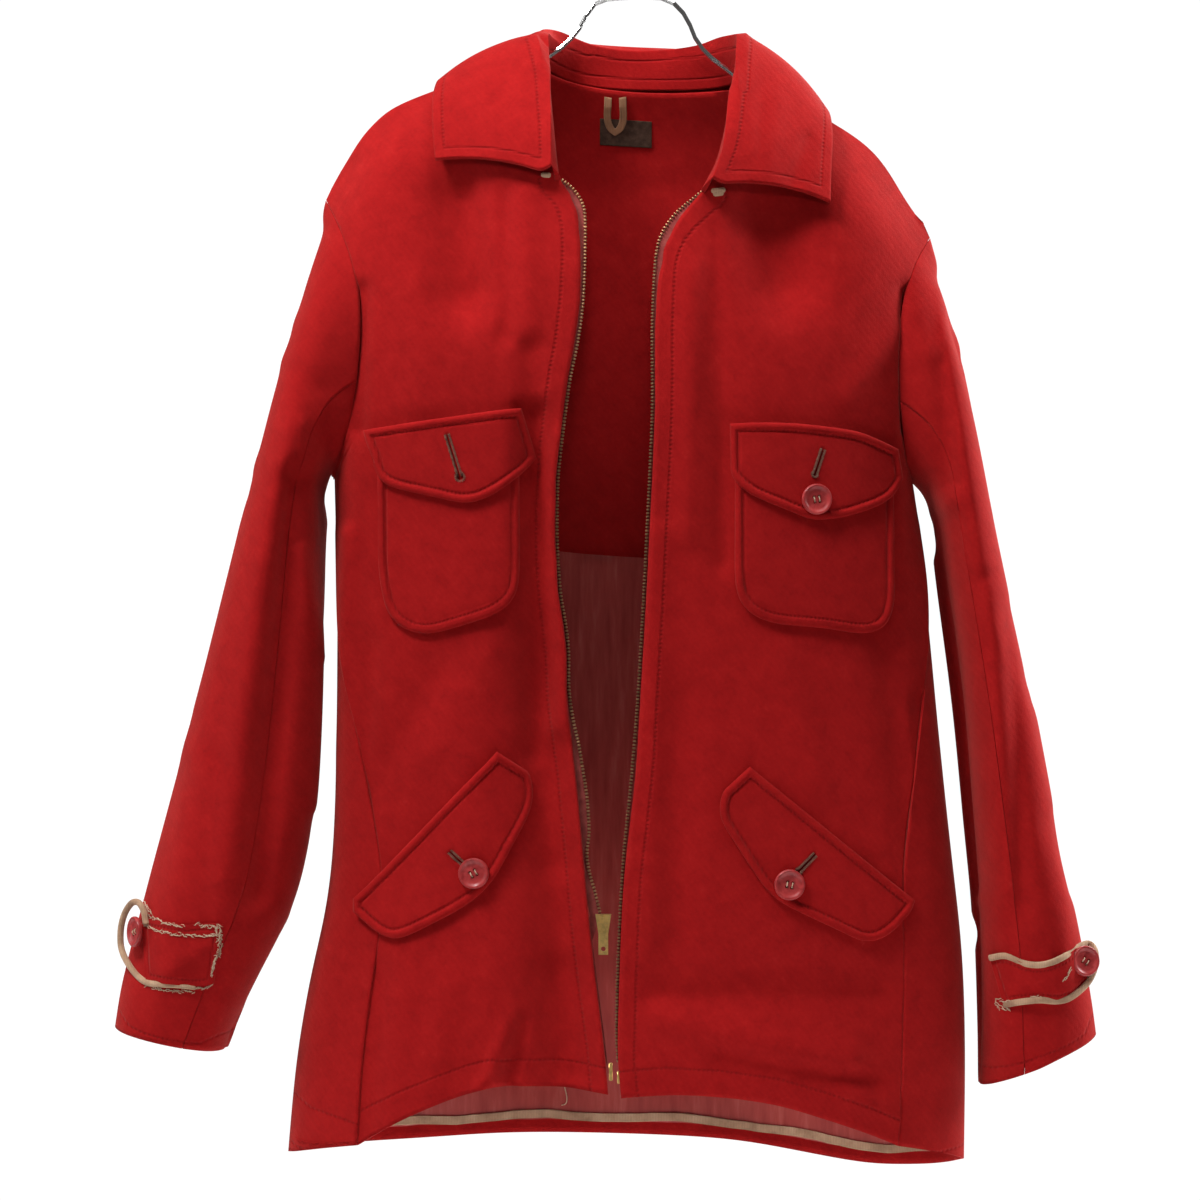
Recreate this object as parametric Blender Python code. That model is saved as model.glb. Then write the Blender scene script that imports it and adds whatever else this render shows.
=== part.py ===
"""Red wool hunting jacket, hung open on a wire hanger.

Lengths in the tables are millimetres and are turned into metres when a mesh is made.
The origin is the top of the inside of the hanger's hook, +Z is up and -Y is the front.
"Right" and "left" are the wearer's, so the right side has negative X.
"""
import math

import bmesh
import bpy
import numpy as np
from mathutils import Matrix, Vector

MM = 0.001
CLOTH = 2.4                 # thickness of the fulled wool
LINING = 1.0                # thickness of the satin lining
TAPE = 0.9                  # thickness of the zip tape and of bindings
SEAM_GAP = 0.3              # space left between two pieces at a seam
LAY_GAP = 0.7               # space below a piece that lies on another
SECTION_POWER = 2.6         # roundness of the body's cross section
FRONT_DROP = 200.0          # height over which the front swells below the shoulder line
BACK_DROP = 110.0           # the same at the back
BODY_ROWS_LOW, BODY_ROWS_HIGH = 15, 9
SLEEVE_RINGS = 20

# level z, right outline x, left outline x, middle y, front y, back y
BODY_LEVELS = [
    (-95.0, -262.0, 240.0, 0.0, -80.0, 60.0),
    (-227.0, -256.0, 234.0, 0.0, -84.0, 64.0),
    (-330.0, -240.0, 216.0, -4.0, -86.0, 68.0),
    (-437.0, -228.5, 202.0, -8.0, -88.0, 71.0),
    (-520.0, -226.5, 213.0, -8.0, -88.0, 74.0),
    (-650.0, -228.0, 226.0, -6.0, -88.0, 78.0),
    (-740.0, -232.5, 236.0, -4.0, -90.0, 82.0),
    (-797.0, -245.0, 242.0, -3.0, -91.0, 84.0),
    (-870.0, -258.0, 244.0, -1.0, -92.0, 86.0),
    (-970.0, -267.0, 243.0, 0.0, -92.0, 88.0),
]
# x, height z of the shoulder line (and of the line the neck is cut below)
SHOULDER_LINE = [
    (-262.0, -290.0), (-248.0, -255.0), (-235.5, -227.3), (-226.0, -212.0), (-217.0, -194.0),
    (-205.0, -176.0), (-186.0, -158.5), (-152.0, -144.5), (-84.0, -120.0), (-45.0, -108.0),
    (0.0, -106.0), (45.0, -115.0), (84.0, -137.0), (144.0, -169.0), (168.0, -185.0),
    (182.0, -200.0), (199.0, -227.0), (217.5, -255.8), (228.0, -280.0), (240.0, -312.0),
]
# height z, x of the free front edge, then of the neck cut above it
RIGHT_EDGE = [
    (-885.7, -24.2), (-853.0, -27.1), (-810.0, -32.9), (-759.0, -38.7), (-712.0, -43.1),
    (-650.0, -48.9), (-600.0, -56.8), (-546.0, -61.9), (-498.0, -65.5), (-455.0, -64.8),
    (-411.0, -61.9), (-375.0, -56.8), (-338.0, -51.0), (-302.0, -47.4), (-277.0, -46.0),
    (-257.0, -47.4), (-239.0, -53.2), (-222.0, -64.3), (-195.6, -67.6), (-169.8, -70.5),
    (-147.7, -75.7), (-127.0, -82.5), (-120.0, -84.0),
]
LEFT_EDGE = [
    (-888.0, -14.7), (-861.0, -17.7), (-810.0, -16.2), (-766.0, -14.8), (-726.0, -12.6),
    (-684.0, -7.5), (-643.0, -3.2), (-602.0, -1.0), (-529.0, 3.4), (-469.0, 6.3), (-411.0, 9.2),
    (-367.0, 10.6), (-317.0, 10.8), (-282.0, 13.0), (-262.0, 22.0), (-247.0, 36.0),
    (-231.0, 52.0), (-206.7, 59.9), (-177.2, 67.3), (-157.3, 74.7), (-144.0, 82.0), (-137.0, 84.0),
]
# x, z of the seam that joins front and sleeve, from the underarm up to the shoulder point
RIGHT_ARMHOLE = [
    (-221.5, -422.0), (-215.0, -394.4), (-208.5, -355.6), (-206.5, -324.0), (-208.7, -292.0),
    (-219.4, -258.7), (-235.5, -227.3),
]
LEFT_ARMHOLE = [
    (197.0, -428.0), (193.0, -402.0), (190.5, -366.0), (192.0, -322.0), (199.0, -288.0),
    (210.0, -264.0), (217.5, -255.8),
]
RIGHT_UNDERARM_Z = -437.0
LEFT_UNDERARM_Z = -444.0
# height z, angle in degrees that the side seam comes forward from the outline
SIDE_SEAM = [(-960.0, 44.0), (-750.0, 41.0), (-650.0, 30.0), (-550.0, 13.0), (-437.0, 0.0)]
# x, z of the lower edge of each front
RIGHT_HEM = [
    (-24.2, -885.7), (-67.0, -880.6), (-107.0, -879.0), (-121.0, -883.0), (-145.0, -892.0),
    (-168.0, -902.0), (-192.0, -915.0), (-208.0, -925.0),
]
LEFT_HEM = [
    (-14.7, -888.0), (18.0, -885.0), (55.0, -887.0), (96.0, -893.0), (129.0, -903.0),
    (160.0, -914.0), (186.0, -926.0),
]
# angle round the body in degrees, z of the back's lower edge
BACK_HEM = [
    (136.0, -926.0), (158.0, -936.0), (180.0, -946.0), (205.0, -957.0), (225.0, -960.0),
    (245.0, -952.0), (262.0, -942.0), (275.0, -939.0), (300.0, -941.0), (325.0, -943.0),
    (345.0, -944.0), (360.0, -940.0), (380.0, -934.0), (404.0, -925.0),
]
# x, z of the neck cut of the back
BACK_NECK = [
    (84.0, -137.0), (66.0, -141.0), (40.0, -142.5), (0.0, -142.0), (-40.0, -139.0),
    (-66.0, -131.0), (-84.0, -120.0),
]
# folds of the fronts: x and z of both ends, half width, depth (minus is a ridge)
FRONT_FOLDS = [
    (-68.0, -430.0, -68.0, -600.0, 22.0, 7.0),
    (-70.0, -600.0, -62.0, -860.0, 30.0, 10.0),
    (-120.0, -960.0, -100.0, -790.0, 26.0, -6.0),
    (-190.0, -960.0, -170.0, -790.0, 26.0, -6.0),
    (48.0, -814.0, 170.0, -828.0, 16.0, 5.0),
    (60.0, -850.0, 160.0, -872.0, 18.0, -6.0),
    (60.0, -310.0, 58.0, -440.0, 20.0, 3.5),
    (212.0, -560.0, 236.0, -860.0, 22.0, -6.0),
]
# folds of the back, in the same columns
BACK_FOLDS = [
    (-70.0, -330.0, -95.0, -900.0, 32.0, 7.0),
    (60.0, -330.0, 90.0, -900.0, 34.0, 7.0),
    (-10.0, -560.0, 0.0, -940.0, 36.0, -5.0),
    (150.0, -600.0, 170.0, -960.0, 34.0, -7.0),
    (-160.0, -600.0, -175.0, -960.0, 34.0, -6.0),
]
# outer x and z, inner x and z, middle y, half depth: a row per section down the sleeve
RIGHT_SLEEVE = [
    (-235.5, -227.3, -229.0, -438.5, -2.0, 58.0), (-245.0, -262.0, -232.4, -440.0, -3.0, 58.0),
    (-255.0, -299.0, -233.2, -445.0, -4.0, 59.0), (-266.5, -340.0, -233.6, -449.0, -6.0, 60.0),
    (-279.0, -386.0, -233.9, -456.0, -8.0, 60.0), (-291.0, -434.0, -234.0, -468.0, -9.0, 59.0),
    (-302.0, -475.0, -233.8, -491.0, -10.0, 58.0), (-312.0, -512.0, -233.2, -520.0, -11.0, 57.0),
    (-327.8, -573.8, -233.6, -571.0, -12.0, 57.0), (-344.2, -635.3, -234.8, -625.0, -14.0, 57.0),
    (-360.8, -696.8, -237.6, -676.0, -16.0, 58.0), (-371.0, -735.0, -244.0, -718.0, -17.0, 57.5),
    (-376.5, -757.0, -253.5, -755.0, -18.0, 56.0), (-384.0, -786.0, -270.0, -787.0, -18.0, 52.5),
    (-390.5, -816.0, -288.0, -821.0, -18.0, 50.0), (-394.0, -843.0, -306.5, -862.0, -18.0, 48.0),
]
LEFT_SLEEVE = [
    (217.5, -255.8, 202.5, -444.0, -2.0, 56.0), (224.0, -280.0, 205.6, -447.0, -3.0, 57.0),
    (232.0, -308.0, 209.0, -450.5, -4.0, 58.0), (240.0, -341.0, 213.0, -455.0, -5.0, 59.0),
    (249.0, -382.0, 217.0, -462.0, -7.0, 60.0), (257.5, -427.0, 219.0, -475.0, -8.0, 60.0),
    (266.0, -473.0, 221.0, -495.0, -9.0, 60.0), (275.0, -515.0, 224.0, -520.0, -10.0, 60.0),
    (288.0, -580.0, 231.5, -572.0, -12.0, 60.5), (300.8, -645.0, 237.5, -628.0, -14.0, 59.0),
    (313.5, -708.8, 242.5, -692.0, -15.0, 59.0), (325.5, -756.0, 247.5, -748.0, -16.0, 57.0),
    (331.0, -781.0, 249.0, -782.0, -16.0, 53.5), (336.0, -806.0, 250.0, -817.0, -16.0, 49.0),
    (340.0, -828.0, 250.5, -853.0, -16.0, 47.0), (342.8, -848.0, 249.5, -889.0, -16.0, 45.0),
]
FOREARM_SEAM, ELBOW_SEAM = 3, 7     # rows of the body above the underarm, in front and behind
# collar, from its right front end round the back to its left front end
# neck seam x, z; roll x, y, z; outer edge x, z; side it lies on (-1 front, 0 shoulder, 1 back)
COLLAR = [
    (-64.3, -222.0, -61.5, -88.0, -212.0, -150.5, -205.0, -1),
    (-67.6, -196.0, -64.0, -78.0, -178.0, -152.5, -184.0, -1),
    (-71.2, -167.0, -67.0, -56.0, -143.0, -153.5, -164.0, -1),
    (-75.7, -147.7, -69.0, -34.0, -118.0, -153.0, -153.0, -1),
    (-84.0, -120.0, -70.0, -6.0, -99.0, -148.0, -146.0, 0),
    (-66.0, -131.0, -58.0, 22.0, -98.0, -116.0, -160.0, 1),
    (-40.0, -139.0, -38.0, 38.0, -103.0, -74.0, -171.0, 1),
    (0.0, -142.0, 0.0, 47.0, -106.0, 0.0, -177.0, 1),
    (40.0, -142.5, 40.0, 40.0, -106.0, 76.0, -182.0, 1),
    (66.0, -141.0, 60.0, 22.0, -101.0, 112.0, -180.0, 1),
    (84.0, -137.0, 73.0, -6.0, -101.0, 138.0, -168.0, 0),
    (74.7, -157.3, 70.0, -34.0, -122.0, 141.0, -175.0, -1),
    (67.3, -177.2, 66.0, -56.0, -150.0, 141.0, -188.0, -1),
    (59.9, -206.7, 62.0, -78.0, -187.0, 139.0, -212.0, -1),
    (48.0, -229.5, 48.5, -90.0, -221.0, 138.0, -236.0, -1),
]
COLLAR_IN, COLLAR_UP = 3.0, 3.2     # the stand's foot from the neck cut, in front and behind
COLLAR_CLOTH = 3.4          # two layers
COLLAR_OFF = 8.0            # from the wool below it to the middle of the fall's edge
COLLAR_FOLD = 4.2           # radius of the roll
# patch tables: upper x and z, lower x and z, a row per place along the patch
RIGHT_CHEST_FLAP = [
    (-201.3, -403.0, -194.8, -420.0), (-188.0, -401.3, -188.5, -441.0),
    (-168.0, -398.5, -167.0, -448.5), (-146.0, -395.6, -146.0, -453.0),
    (-125.0, -392.8, -126.0, -457.5), (-106.0, -390.2, -106.0, -450.5),
    (-95.0, -388.8, -89.0, -436.5), (-87.8, -387.8, -78.5, -424.0),
]
RIGHT_CHEST_BAG = [
    (-191.5, -409.0, -190.8, -505.0), (-186.0, -408.0, -184.5, -537.0),
    (-174.0, -406.5, -171.0, -549.0), (-156.0, -404.0, -156.0, -552.5),
    (-136.0, -401.5, -136.0, -547.5), (-114.0, -398.5, -114.6, -541.0),
    (-100.0, -396.5, -99.5, -534.5), (-94.0, -396.0, -92.5, -527.0), (-90.0, -396.0, -89.3, -512.0),
]
LEFT_CHEST_FLAP = [
    (64.7, -399.4, 65.4, -437.7), (74.0, -399.0, 74.0, -448.0), (90.0, -398.7, 90.0, -456.0),
    (108.0, -399.0, 108.0, -463.0), (126.0, -400.5, 124.0, -469.5), (143.0, -402.3, 140.0, -468.5),
    (160.0, -405.2, 160.0, -463.0), (172.0, -410.6, 173.0, -458.0), (180.0, -414.0, 183.0, -451.0),
    (185.0, -416.5, 188.4, -438.0),
]
LEFT_CHEST_BAG = [
    (68.5, -406.0, 67.7, -520.0), (73.0, -406.0, 73.5, -533.0), (85.0, -405.5, 85.0, -540.5),
    (100.0, -405.5, 100.0, -545.0), (120.0, -406.0, 120.0, -546.5), (140.0, -408.0, 142.0, -549.0),
    (160.0, -411.0, 160.0, -552.0), (173.0, -416.0, 174.0, -550.5), (180.0, -419.0, 181.5, -542.0),
    (183.5, -421.5, 184.5, -530.0),
]
RIGHT_LOWER_FLAP = [
    (-208.0, -746.5, -208.0, -756.0), (-201.0, -739.0, -194.0, -769.0),
    (-190.0, -727.5, -181.0, -776.0), (-175.0, -711.5, -157.0, -765.0),
    (-158.0, -693.5, -121.0, -745.0), (-141.0, -675.5, -104.0, -726.0),
    (-126.0, -660.0, -92.0, -700.0), (-114.0, -647.5, -79.0, -675.0), (-105.0, -637.5, -82.0, -654.0),
]
LEFT_LOWER_FLAP = [
    (78.5, -648.1, 58.0, -667.0), (88.0, -656.0, 54.8, -681.0), (103.0, -668.3, 66.5, -701.0),
    (120.0, -682.2, 80.0, -722.0), (138.0, -697.0, 95.0, -743.0), (155.0, -711.0, 122.0, -757.0),
    (170.0, -723.2, 150.0, -770.5), (183.0, -734.0, 166.0, -778.0), (193.0, -742.0, 182.0, -771.0),
    (199.3, -747.2, 196.5, -754.5),
]
PATCH_ROWS = 5
# name, x, z on the front, how far out in layers of wool
FRONT_BUTTONS = [
    ("button_chest_left", 124.8, -454.4, 2), ("button_lower_right", -120.6, -725.8, 1.2),
    ("button_lower_left", 106.4, -733.7, 1),
]
BUTTON_RADIUS, BUTTON_THICK, BUTTON_RIM, BUTTON_DISH = 11.2, 4.2, 1.9, 1.4
BUTTON_HOLE, BUTTON_HOLE_FROM_CENTRE = 1.1, 2.7
BUTTON_SEAT = 0.5           # below a button
# cuff tab on each sleeve: share of the sleeve's length at its middle, half width there in mm,
# angle at its button end and at its sewn end, angle of the button
CUFF_TABS = {
    "right": (0.885, 0.047, -62.0, 128.0, -8.0),
    "left": (0.895, 0.032, -40.0, 125.0, 22.0),
}
BUTTON_ABOVE = 0.009        # cuff button from its tab's middle, as a share of the sleeve
TAB_BINDING = 0.008         # width of the tab's binding, as a share of the sleeve
ZIP_TAPE_IN = 11.0          # behind the front's edge
# lower and upper end, reach past the front's edge
RIGHT_ZIP = (-866.0, -236.0, 6.0)
LEFT_ZIP = (-862.0, -275.0, 1.8)
SLIDER_X, SLIDER_Z = -27.6, -762.0
SLIDER_WIDE, SLIDER_DEEP, SLIDER_TALL = 11.5, 4.4, 14.0
SLIDER_FOOT = 0.62          # its lower end's width as a share of the upper
BRIDGE_WIDE, BRIDGE_OUT, BRIDGE_THICK, BRIDGE_TALL = 2.6, 2.6, 1.1, 9.5
PULL_WIDE, PULL_THICK, PULL_LONG, PULL_BAR = 7.0, 1.3, 22.0, 0.65
PULL_WINDOW_WIDE, PULL_WINDOW_LONG, PULL_HOLE = 3.8, 6.4, 1.7
LINING_COLUMNS = (3, 24)    # columns of the back that its lining spans
LINING_ROWS, LINING_LOW, LINING_TAPE = 12, 0.28, 0.17   # in rows of the back, from its hem
LABEL_MIDDLE, LABEL_SIZE = (-10.2, -169.0), (40.0, 20.0)
NECK_SINK = 2.3             # the label from the middle of the back's curve
LOOP_WIDE = 5.6
# x, z of the middle of the hanging loop's tape
LOOP_LINE = [
    (-24.0, -146.5), (-24.6, -155.0), (-23.6, -162.5), (-18.4, -168.0), (-13.2, -162.5),
    (-12.2, -155.0), (-12.8, -146.5),
]
WIRE = 1.5                  # radius of the hanger's wire
WIRE_APART = 4.4            # between the middles of its two wires
# x, z of the hanger's wire from its right end over the arch to its left end
HANGER_LINE = [
    (-196.0, -178.6), (-186.0, -169.1), (-150.0, -151.1), (-100.0, -133.6), (-80.0, -126.3),
    (-69.0, -120.0), (-57.0, -111.5), (-46.0, -99.5), (-38.5, -86.0), (-30.5, -78.0), (-16.0, -75.8),
    (0.0, -75.2), (16.0, -75.8), (27.0, -81.0), (36.0, -93.0), (42.0, -107.0), (51.0, -118.5),
    (69.8, -133.0), (84.0, -147.5), (144.0, -180.0), (162.0, -191.5), (172.0, -201.0),
]
# x, z of the hook's wire from the swivel up and over
HOOK_LINE = [
    (0.0, -66.5), (0.0, -58.0), (1.5, -50.0), (9.0, -42.5), (18.0, -33.0), (21.6, -20.0),
    (15.3, -4.6), (0.0, 1.6), (-15.3, -4.6), (-21.6, -20.0), (-19.5, -29.0),
]
HOOK_WIRE = 1.6
SWIVEL_RADIUS, SWIVEL_TALL = 3.4, 6.0

COLOURS = {
    "wool": ((0.30, 0.012, 0.010), 0.95, 0.0),
    "rose_satin": ((0.20, 0.045, 0.045), 0.6, 0.0),
    "tan_tape": ((0.48, 0.32, 0.20), 0.85, 0.0),
    "label_cloth": ((0.05, 0.03, 0.022), 0.8, 0.0),
    "button_resin": ((0.42, 0.045, 0.045), 0.35, 0.0),
    "brass": ((0.55, 0.38, 0.12), 0.35, 1.0),
    "chrome": ((0.7, 0.7, 0.7), 0.2, 1.0),
}


def clear_scene():
    for thing in list(bpy.data.objects):
        bpy.data.objects.remove(thing, do_unlink=True)


def new_collection(name):
    group = bpy.data.collections.new(name)
    bpy.context.scene.collection.children.link(group)
    return group


def material_for(name, kind):
    colour, rough, metal = COLOURS[kind]
    material = bpy.data.materials.new(name)
    material.use_nodes = True
    shader = material.node_tree.nodes["Principled BSDF"]
    shader.inputs["Base Color"].default_value = (*colour, 1.0)
    shader.inputs["Roughness"].default_value = rough
    shader.inputs["Metallic"].default_value = metal
    material.diffuse_color = (*colour, 1.0)
    return material


def finish_object(name, mesh_builder, kind, group, origin=Vector((0, 0, 0))):
    """Turn a millimetre bmesh into a named object in metres whose origin is where asked."""
    bmesh.ops.translate(mesh_builder, verts=mesh_builder.verts, vec=-origin)
    bmesh.ops.scale(mesh_builder, verts=mesh_builder.verts, vec=(MM, MM, MM))
    bmesh.ops.recalc_face_normals(mesh_builder, faces=mesh_builder.faces)
    mesh = bpy.data.meshes.new(name)
    mesh_builder.to_mesh(mesh)
    mesh_builder.free()
    thing = bpy.data.objects.new(name, mesh)
    thing.location = origin * MM
    mesh.materials.append(material_for(name + "_surface", kind))
    group.objects.link(thing)
    return thing


def along(table, where):
    """Smooth value between the rows of a table whose first column is the place."""
    places = [row[0] for row in table]
    if places[0] > places[-1]:
        table, places = table[::-1], places[::-1]
    if where <= places[0]:
        return list(table[0][1:])
    if where >= places[-1]:
        return list(table[-1][1:])
    i = next(k for k in range(len(places) - 1) if where <= places[k + 1])
    span = places[i + 1] - places[i]
    f = (where - places[i]) / span
    out = []
    for col in range(1, len(table[0])):
        a, b = table[i][col], table[i + 1][col]
        step = (b - a) / span
        before = step if i == 0 else (a - table[i - 1][col]) / (places[i] - places[i - 1])
        after = step if i + 2 == len(places) else (
            (table[i + 2][col] - b) / (places[i + 2] - places[i + 1]))
        lead = 0.0 if before * step <= 0 else 2 * before * step / (before + step)
        tail = 0.0 if after * step <= 0 else 2 * after * step / (after + step)
        h = f * f * (3 - 2 * f)
        out.append(a + (b - a) * h + span * (lead * f * (1 - f) ** 2 - tail * f * f * (1 - f)))
    return out


def along_line(points, share):
    """Point at a share of a line's length; its points may have any number of columns."""
    points = [np.array(p, dtype=float) for p in points]
    steps = [max(float(np.linalg.norm(b - a)), 1e-9) for a, b in zip(points, points[1:])]
    marks = np.concatenate([[0.0], np.cumsum(steps)]) / sum(steps)
    rows = [(float(m), *p) for m, p in zip(marks, points)]
    return along(rows, share)


def fold_shift(x, z, folds):
    """Sum of soft troughs, each a line with a bell-shaped section and tapered ends."""
    total = 0.0
    for x0, z0, x1, z1, half, depth in folds:
        dx, dz = x1 - x0, z1 - z0
        length = math.hypot(dx, dz)
        run = ((x - x0) * dx + (z - z0) * dz) / length
        off = ((x - x0) * dz - (z - z0) * dx) / length
        over = max(0.0, -run, run - length)
        total += depth * math.exp(-(off / half) ** 2 - (over / (1.6 * half)) ** 2)
    return total


def level(z):
    right, left, mid, front, back = along(BODY_LEVELS, z)
    return (right + left) / 2, (left - right) / 2, mid, mid - front, back - mid


def swell(x, z, drop):
    """Share of its full depth that the body has at this distance below the shoulder line."""
    t = min(max((along(SHOULDER_LINE, x)[0] - z) / drop, 0.0), 1.0)
    return math.sqrt(1.0 - (1.0 - t) ** 2)


def depth_at(x, z, side):
    """y of the outside of the front (side -1) or of the back (side +1)."""
    centre, half, mid, front, back = level(z)
    q = min(abs(x - centre) / half, 1.0)
    curve = (1.0 - q ** SECTION_POWER) ** (1.0 / SECTION_POWER)
    if side < 0:
        full = swell(x, z, FRONT_DROP) * curve
        return mid - front * full + fold_shift(x, z, FRONT_FOLDS) * min(1.0, 1.3 * full)
    full = swell(x, z, BACK_DROP) * curve
    return mid + back * full + fold_shift(x, z, BACK_FOLDS) * min(1.0, 1.3 * full)


def body_point(angle, z):
    """Angle 0 is the right outline, 90 the front, 180 the left outline, 270 the back."""
    centre, half = level(z)[:2]
    c = math.cos(math.radians(angle))
    x = centre - half * math.copysign(abs(c) ** (2.0 / SECTION_POWER), c)
    side = -1 if math.sin(math.radians(angle)) >= 0 else 1
    return Vector((x, depth_at(x, z, side), z))


def body_value(x, y, z, side):
    """Grows outwards through the body's surface; its slope gives the normal."""
    centre, half, mid, front, back = level(z)
    q = min(abs(x - centre) / half, 1.3)
    drop, deep, folds = (FRONT_DROP, front, FRONT_FOLDS) if side < 0 else (
        BACK_DROP, back, BACK_FOLDS)
    share = swell(x, z, drop)
    full = share * max(1.0 - q ** SECTION_POWER, 0.0) ** (1.0 / SECTION_POWER)
    bare = (y - fold_shift(x, z, folds) * min(1.0, 1.3 * full) - mid) * side
    return math.copysign((abs(bare) / deep) ** SECTION_POWER, bare) - (
        1.0 - q ** SECTION_POWER) * share ** SECTION_POWER


def body_normal(point, side):
    h = 0.4
    x, y, z = point
    if abs(y - level(z)[2]) < 1.0:
        slopes = [sum(body_value(*[p + d * (i == axis) for i, p in enumerate((x, y, z))], s) * d
                      for d in (-h, h) for s in (-1, 1)) for axis in (0, 2)]
        return Vector((slopes[0], 0.0, slopes[1])).normalized()
    slopes = [sum(body_value(*[p + d * (i == axis) for i, p in enumerate((x, y, z))], side) * d
                  for d in (-h, h)) for axis in range(3)]
    return Vector(slopes).normalized()


def angle_at(x, z, side):
    centre, half = level(z)[:2]
    q = min(abs(x - centre) / half, 1.0)
    turn = math.degrees(math.acos(q ** (SECTION_POWER / 2.0)))
    turn = turn if x < centre else 180.0 - turn
    return turn if side < 0 else 360.0 - turn


def coons(lower, upper, start, end, rows, cols):
    """Grid of (angle, z) between four edges; start and end give one point for each row."""
    low = [np.array(along_line(lower, k / cols)) for k in range(cols + 1)]
    high = [np.array(along_line(upper, k / cols)) for k in range(cols + 1)]
    grid = []
    for r in range(rows + 1):
        t = r / rows
        a, b = np.array(start[r]), np.array(end[r])
        line = []
        for k in range(cols + 1):
            s = k / cols
            p = (1 - t) * low[k] + t * high[k] + (1 - s) * a + s * b
            p -= (1 - s) * ((1 - t) * low[0] + t * high[0]) + s * ((1 - t) * low[-1] + t * high[-1])
            line.append(p)
        grid.append(line)
    return grid


def row_heights(bottom, split, top):
    low = [bottom + (split - bottom) * k / BODY_ROWS_LOW for k in range(BODY_ROWS_LOW)]
    high = [split + (top - split) * k / BODY_ROWS_HIGH for k in range(BODY_ROWS_HIGH + 1)]
    return low + high


def skins(points, normals, out, thick):
    outer = [[p + n * out for p, n in zip(*row)] for row in zip(points, normals)]
    inner = [[p + n * (out - thick) for p, n in zip(*row)] for row in zip(points, normals)]
    return outer, inner


def trim(grid, left=0.0, right=0.0, bottom=0.0, top=0.0):
    """Pull a grid's edges in by the given millimetres, towards the next row or column."""
    rows, cols = len(grid), len(grid[0])
    for r in range(rows):
        for col, near, gap in ((0, 1, left), (cols - 1, cols - 2, right)):
            if gap:
                grid[r][col] = grid[r][col] + (grid[r][near] - grid[r][col]).normalized() * gap
    for c in range(cols):
        for row, near, gap in ((0, 1, bottom), (rows - 1, rows - 2, top)):
            if gap:
                grid[row][c] = grid[row][c] + (grid[near][c] - grid[row][c]).normalized() * gap
    return grid


def sheet(name, outer, inner, kind, group):
    """Closed shell between two grids of points."""
    builder = bmesh.new()
    rows, cols = len(outer), len(outer[0])
    top = [[builder.verts.new(p) for p in row] for row in outer]
    low = [[builder.verts.new(p) for p in row] for row in inner]
    for r in range(rows - 1):
        for c in range(cols - 1):
            builder.faces.new((top[r][c], top[r][c + 1], top[r + 1][c + 1], top[r + 1][c]))
            builder.faces.new((low[r][c], low[r + 1][c], low[r + 1][c + 1], low[r][c + 1]))
    rim = [(0, c) for c in range(cols)] + [(r, cols - 1) for r in range(1, rows)]
    rim += [(rows - 1, c) for c in range(cols - 2, -1, -1)] + [(r, 0) for r in range(rows - 2, 0, -1)]
    for (r0, c0), (r1, c1) in zip(rim, rim[1:] + rim[:1]):
        builder.faces.new((top[r0][c0], low[r0][c0], low[r1][c1], top[r1][c1]))
    return finish_object(name, builder, kind, group)


def body_sheet(name, grid, side_of, group, gaps):
    """Sheet of wool on the body; gives back its points and normals for what lies on it."""
    points = [[body_point(a, z) for a, z in row] for row in grid]
    normals = [[body_normal(p, side_of(a)) for p, (a, _) in zip(prow, row)]
               for prow, row in zip(points, grid)]
    outer, inner = skins(points, normals, 0.0, CLOTH)
    sheet(name, trim(outer, **gaps), trim(inner, **gaps), "wool", group)
    return points, normals


def seam_angle(z):
    return along(SIDE_SEAM, z)[0]


def armhole_rows(armhole, side, underarm_z, heights):
    """Angle and z at each height from the underarm up along the armhole seam."""
    start = (0.0 if armhole[0][0] < 0 else 180.0) if side < 0 else (
        360.0 if armhole[0][0] < 0 else 180.0)
    line = [(start, underarm_z)] + [(angle_at(x, z, side), z) for x, z in armhole]
    table = [(z, a) for a, z in line]
    return [(along(table, z)[0], z) for z in heights]


def make_front(name, edge, hem, armhole, shoulder, underarm_z, cols, group):
    right = hem[-1][0] < 0
    split = underarm_z
    edge_z = row_heights(edge[0][0], split + 10.0, edge[-1][0])
    side_z = row_heights(hem[-1][1], split, armhole[-1][1])
    start = [(angle_at(along(edge, z)[0], z, -1), z) for z in edge_z]
    low_side = [(seam_angle(z) if right else 180.0 - seam_angle(z), z)
                for z in side_z[:BODY_ROWS_LOW]]
    end = low_side + armhole_rows(armhole, -1, underarm_z, side_z[BODY_ROWS_LOW:])
    lower = [(angle_at(x, z, -1), z) for x, z in hem[:-1]] + [low_side[0]]
    upper = [(angle_at(x, z, -1), z) for x, z in shoulder]
    grid = coons(lower, upper, start, end, BODY_ROWS_LOW + BODY_ROWS_HIGH, cols)
    half = SEAM_GAP / 2
    return body_sheet(name, grid, lambda a: -1, group, dict(left=0.0, right=half, top=half))


def shoulder_points(first, last, count=8):
    return [(x, along(SHOULDER_LINE, x)[0]) for x in
            [first + (last - first) * k / count for k in range(count + 1)]]


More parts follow.
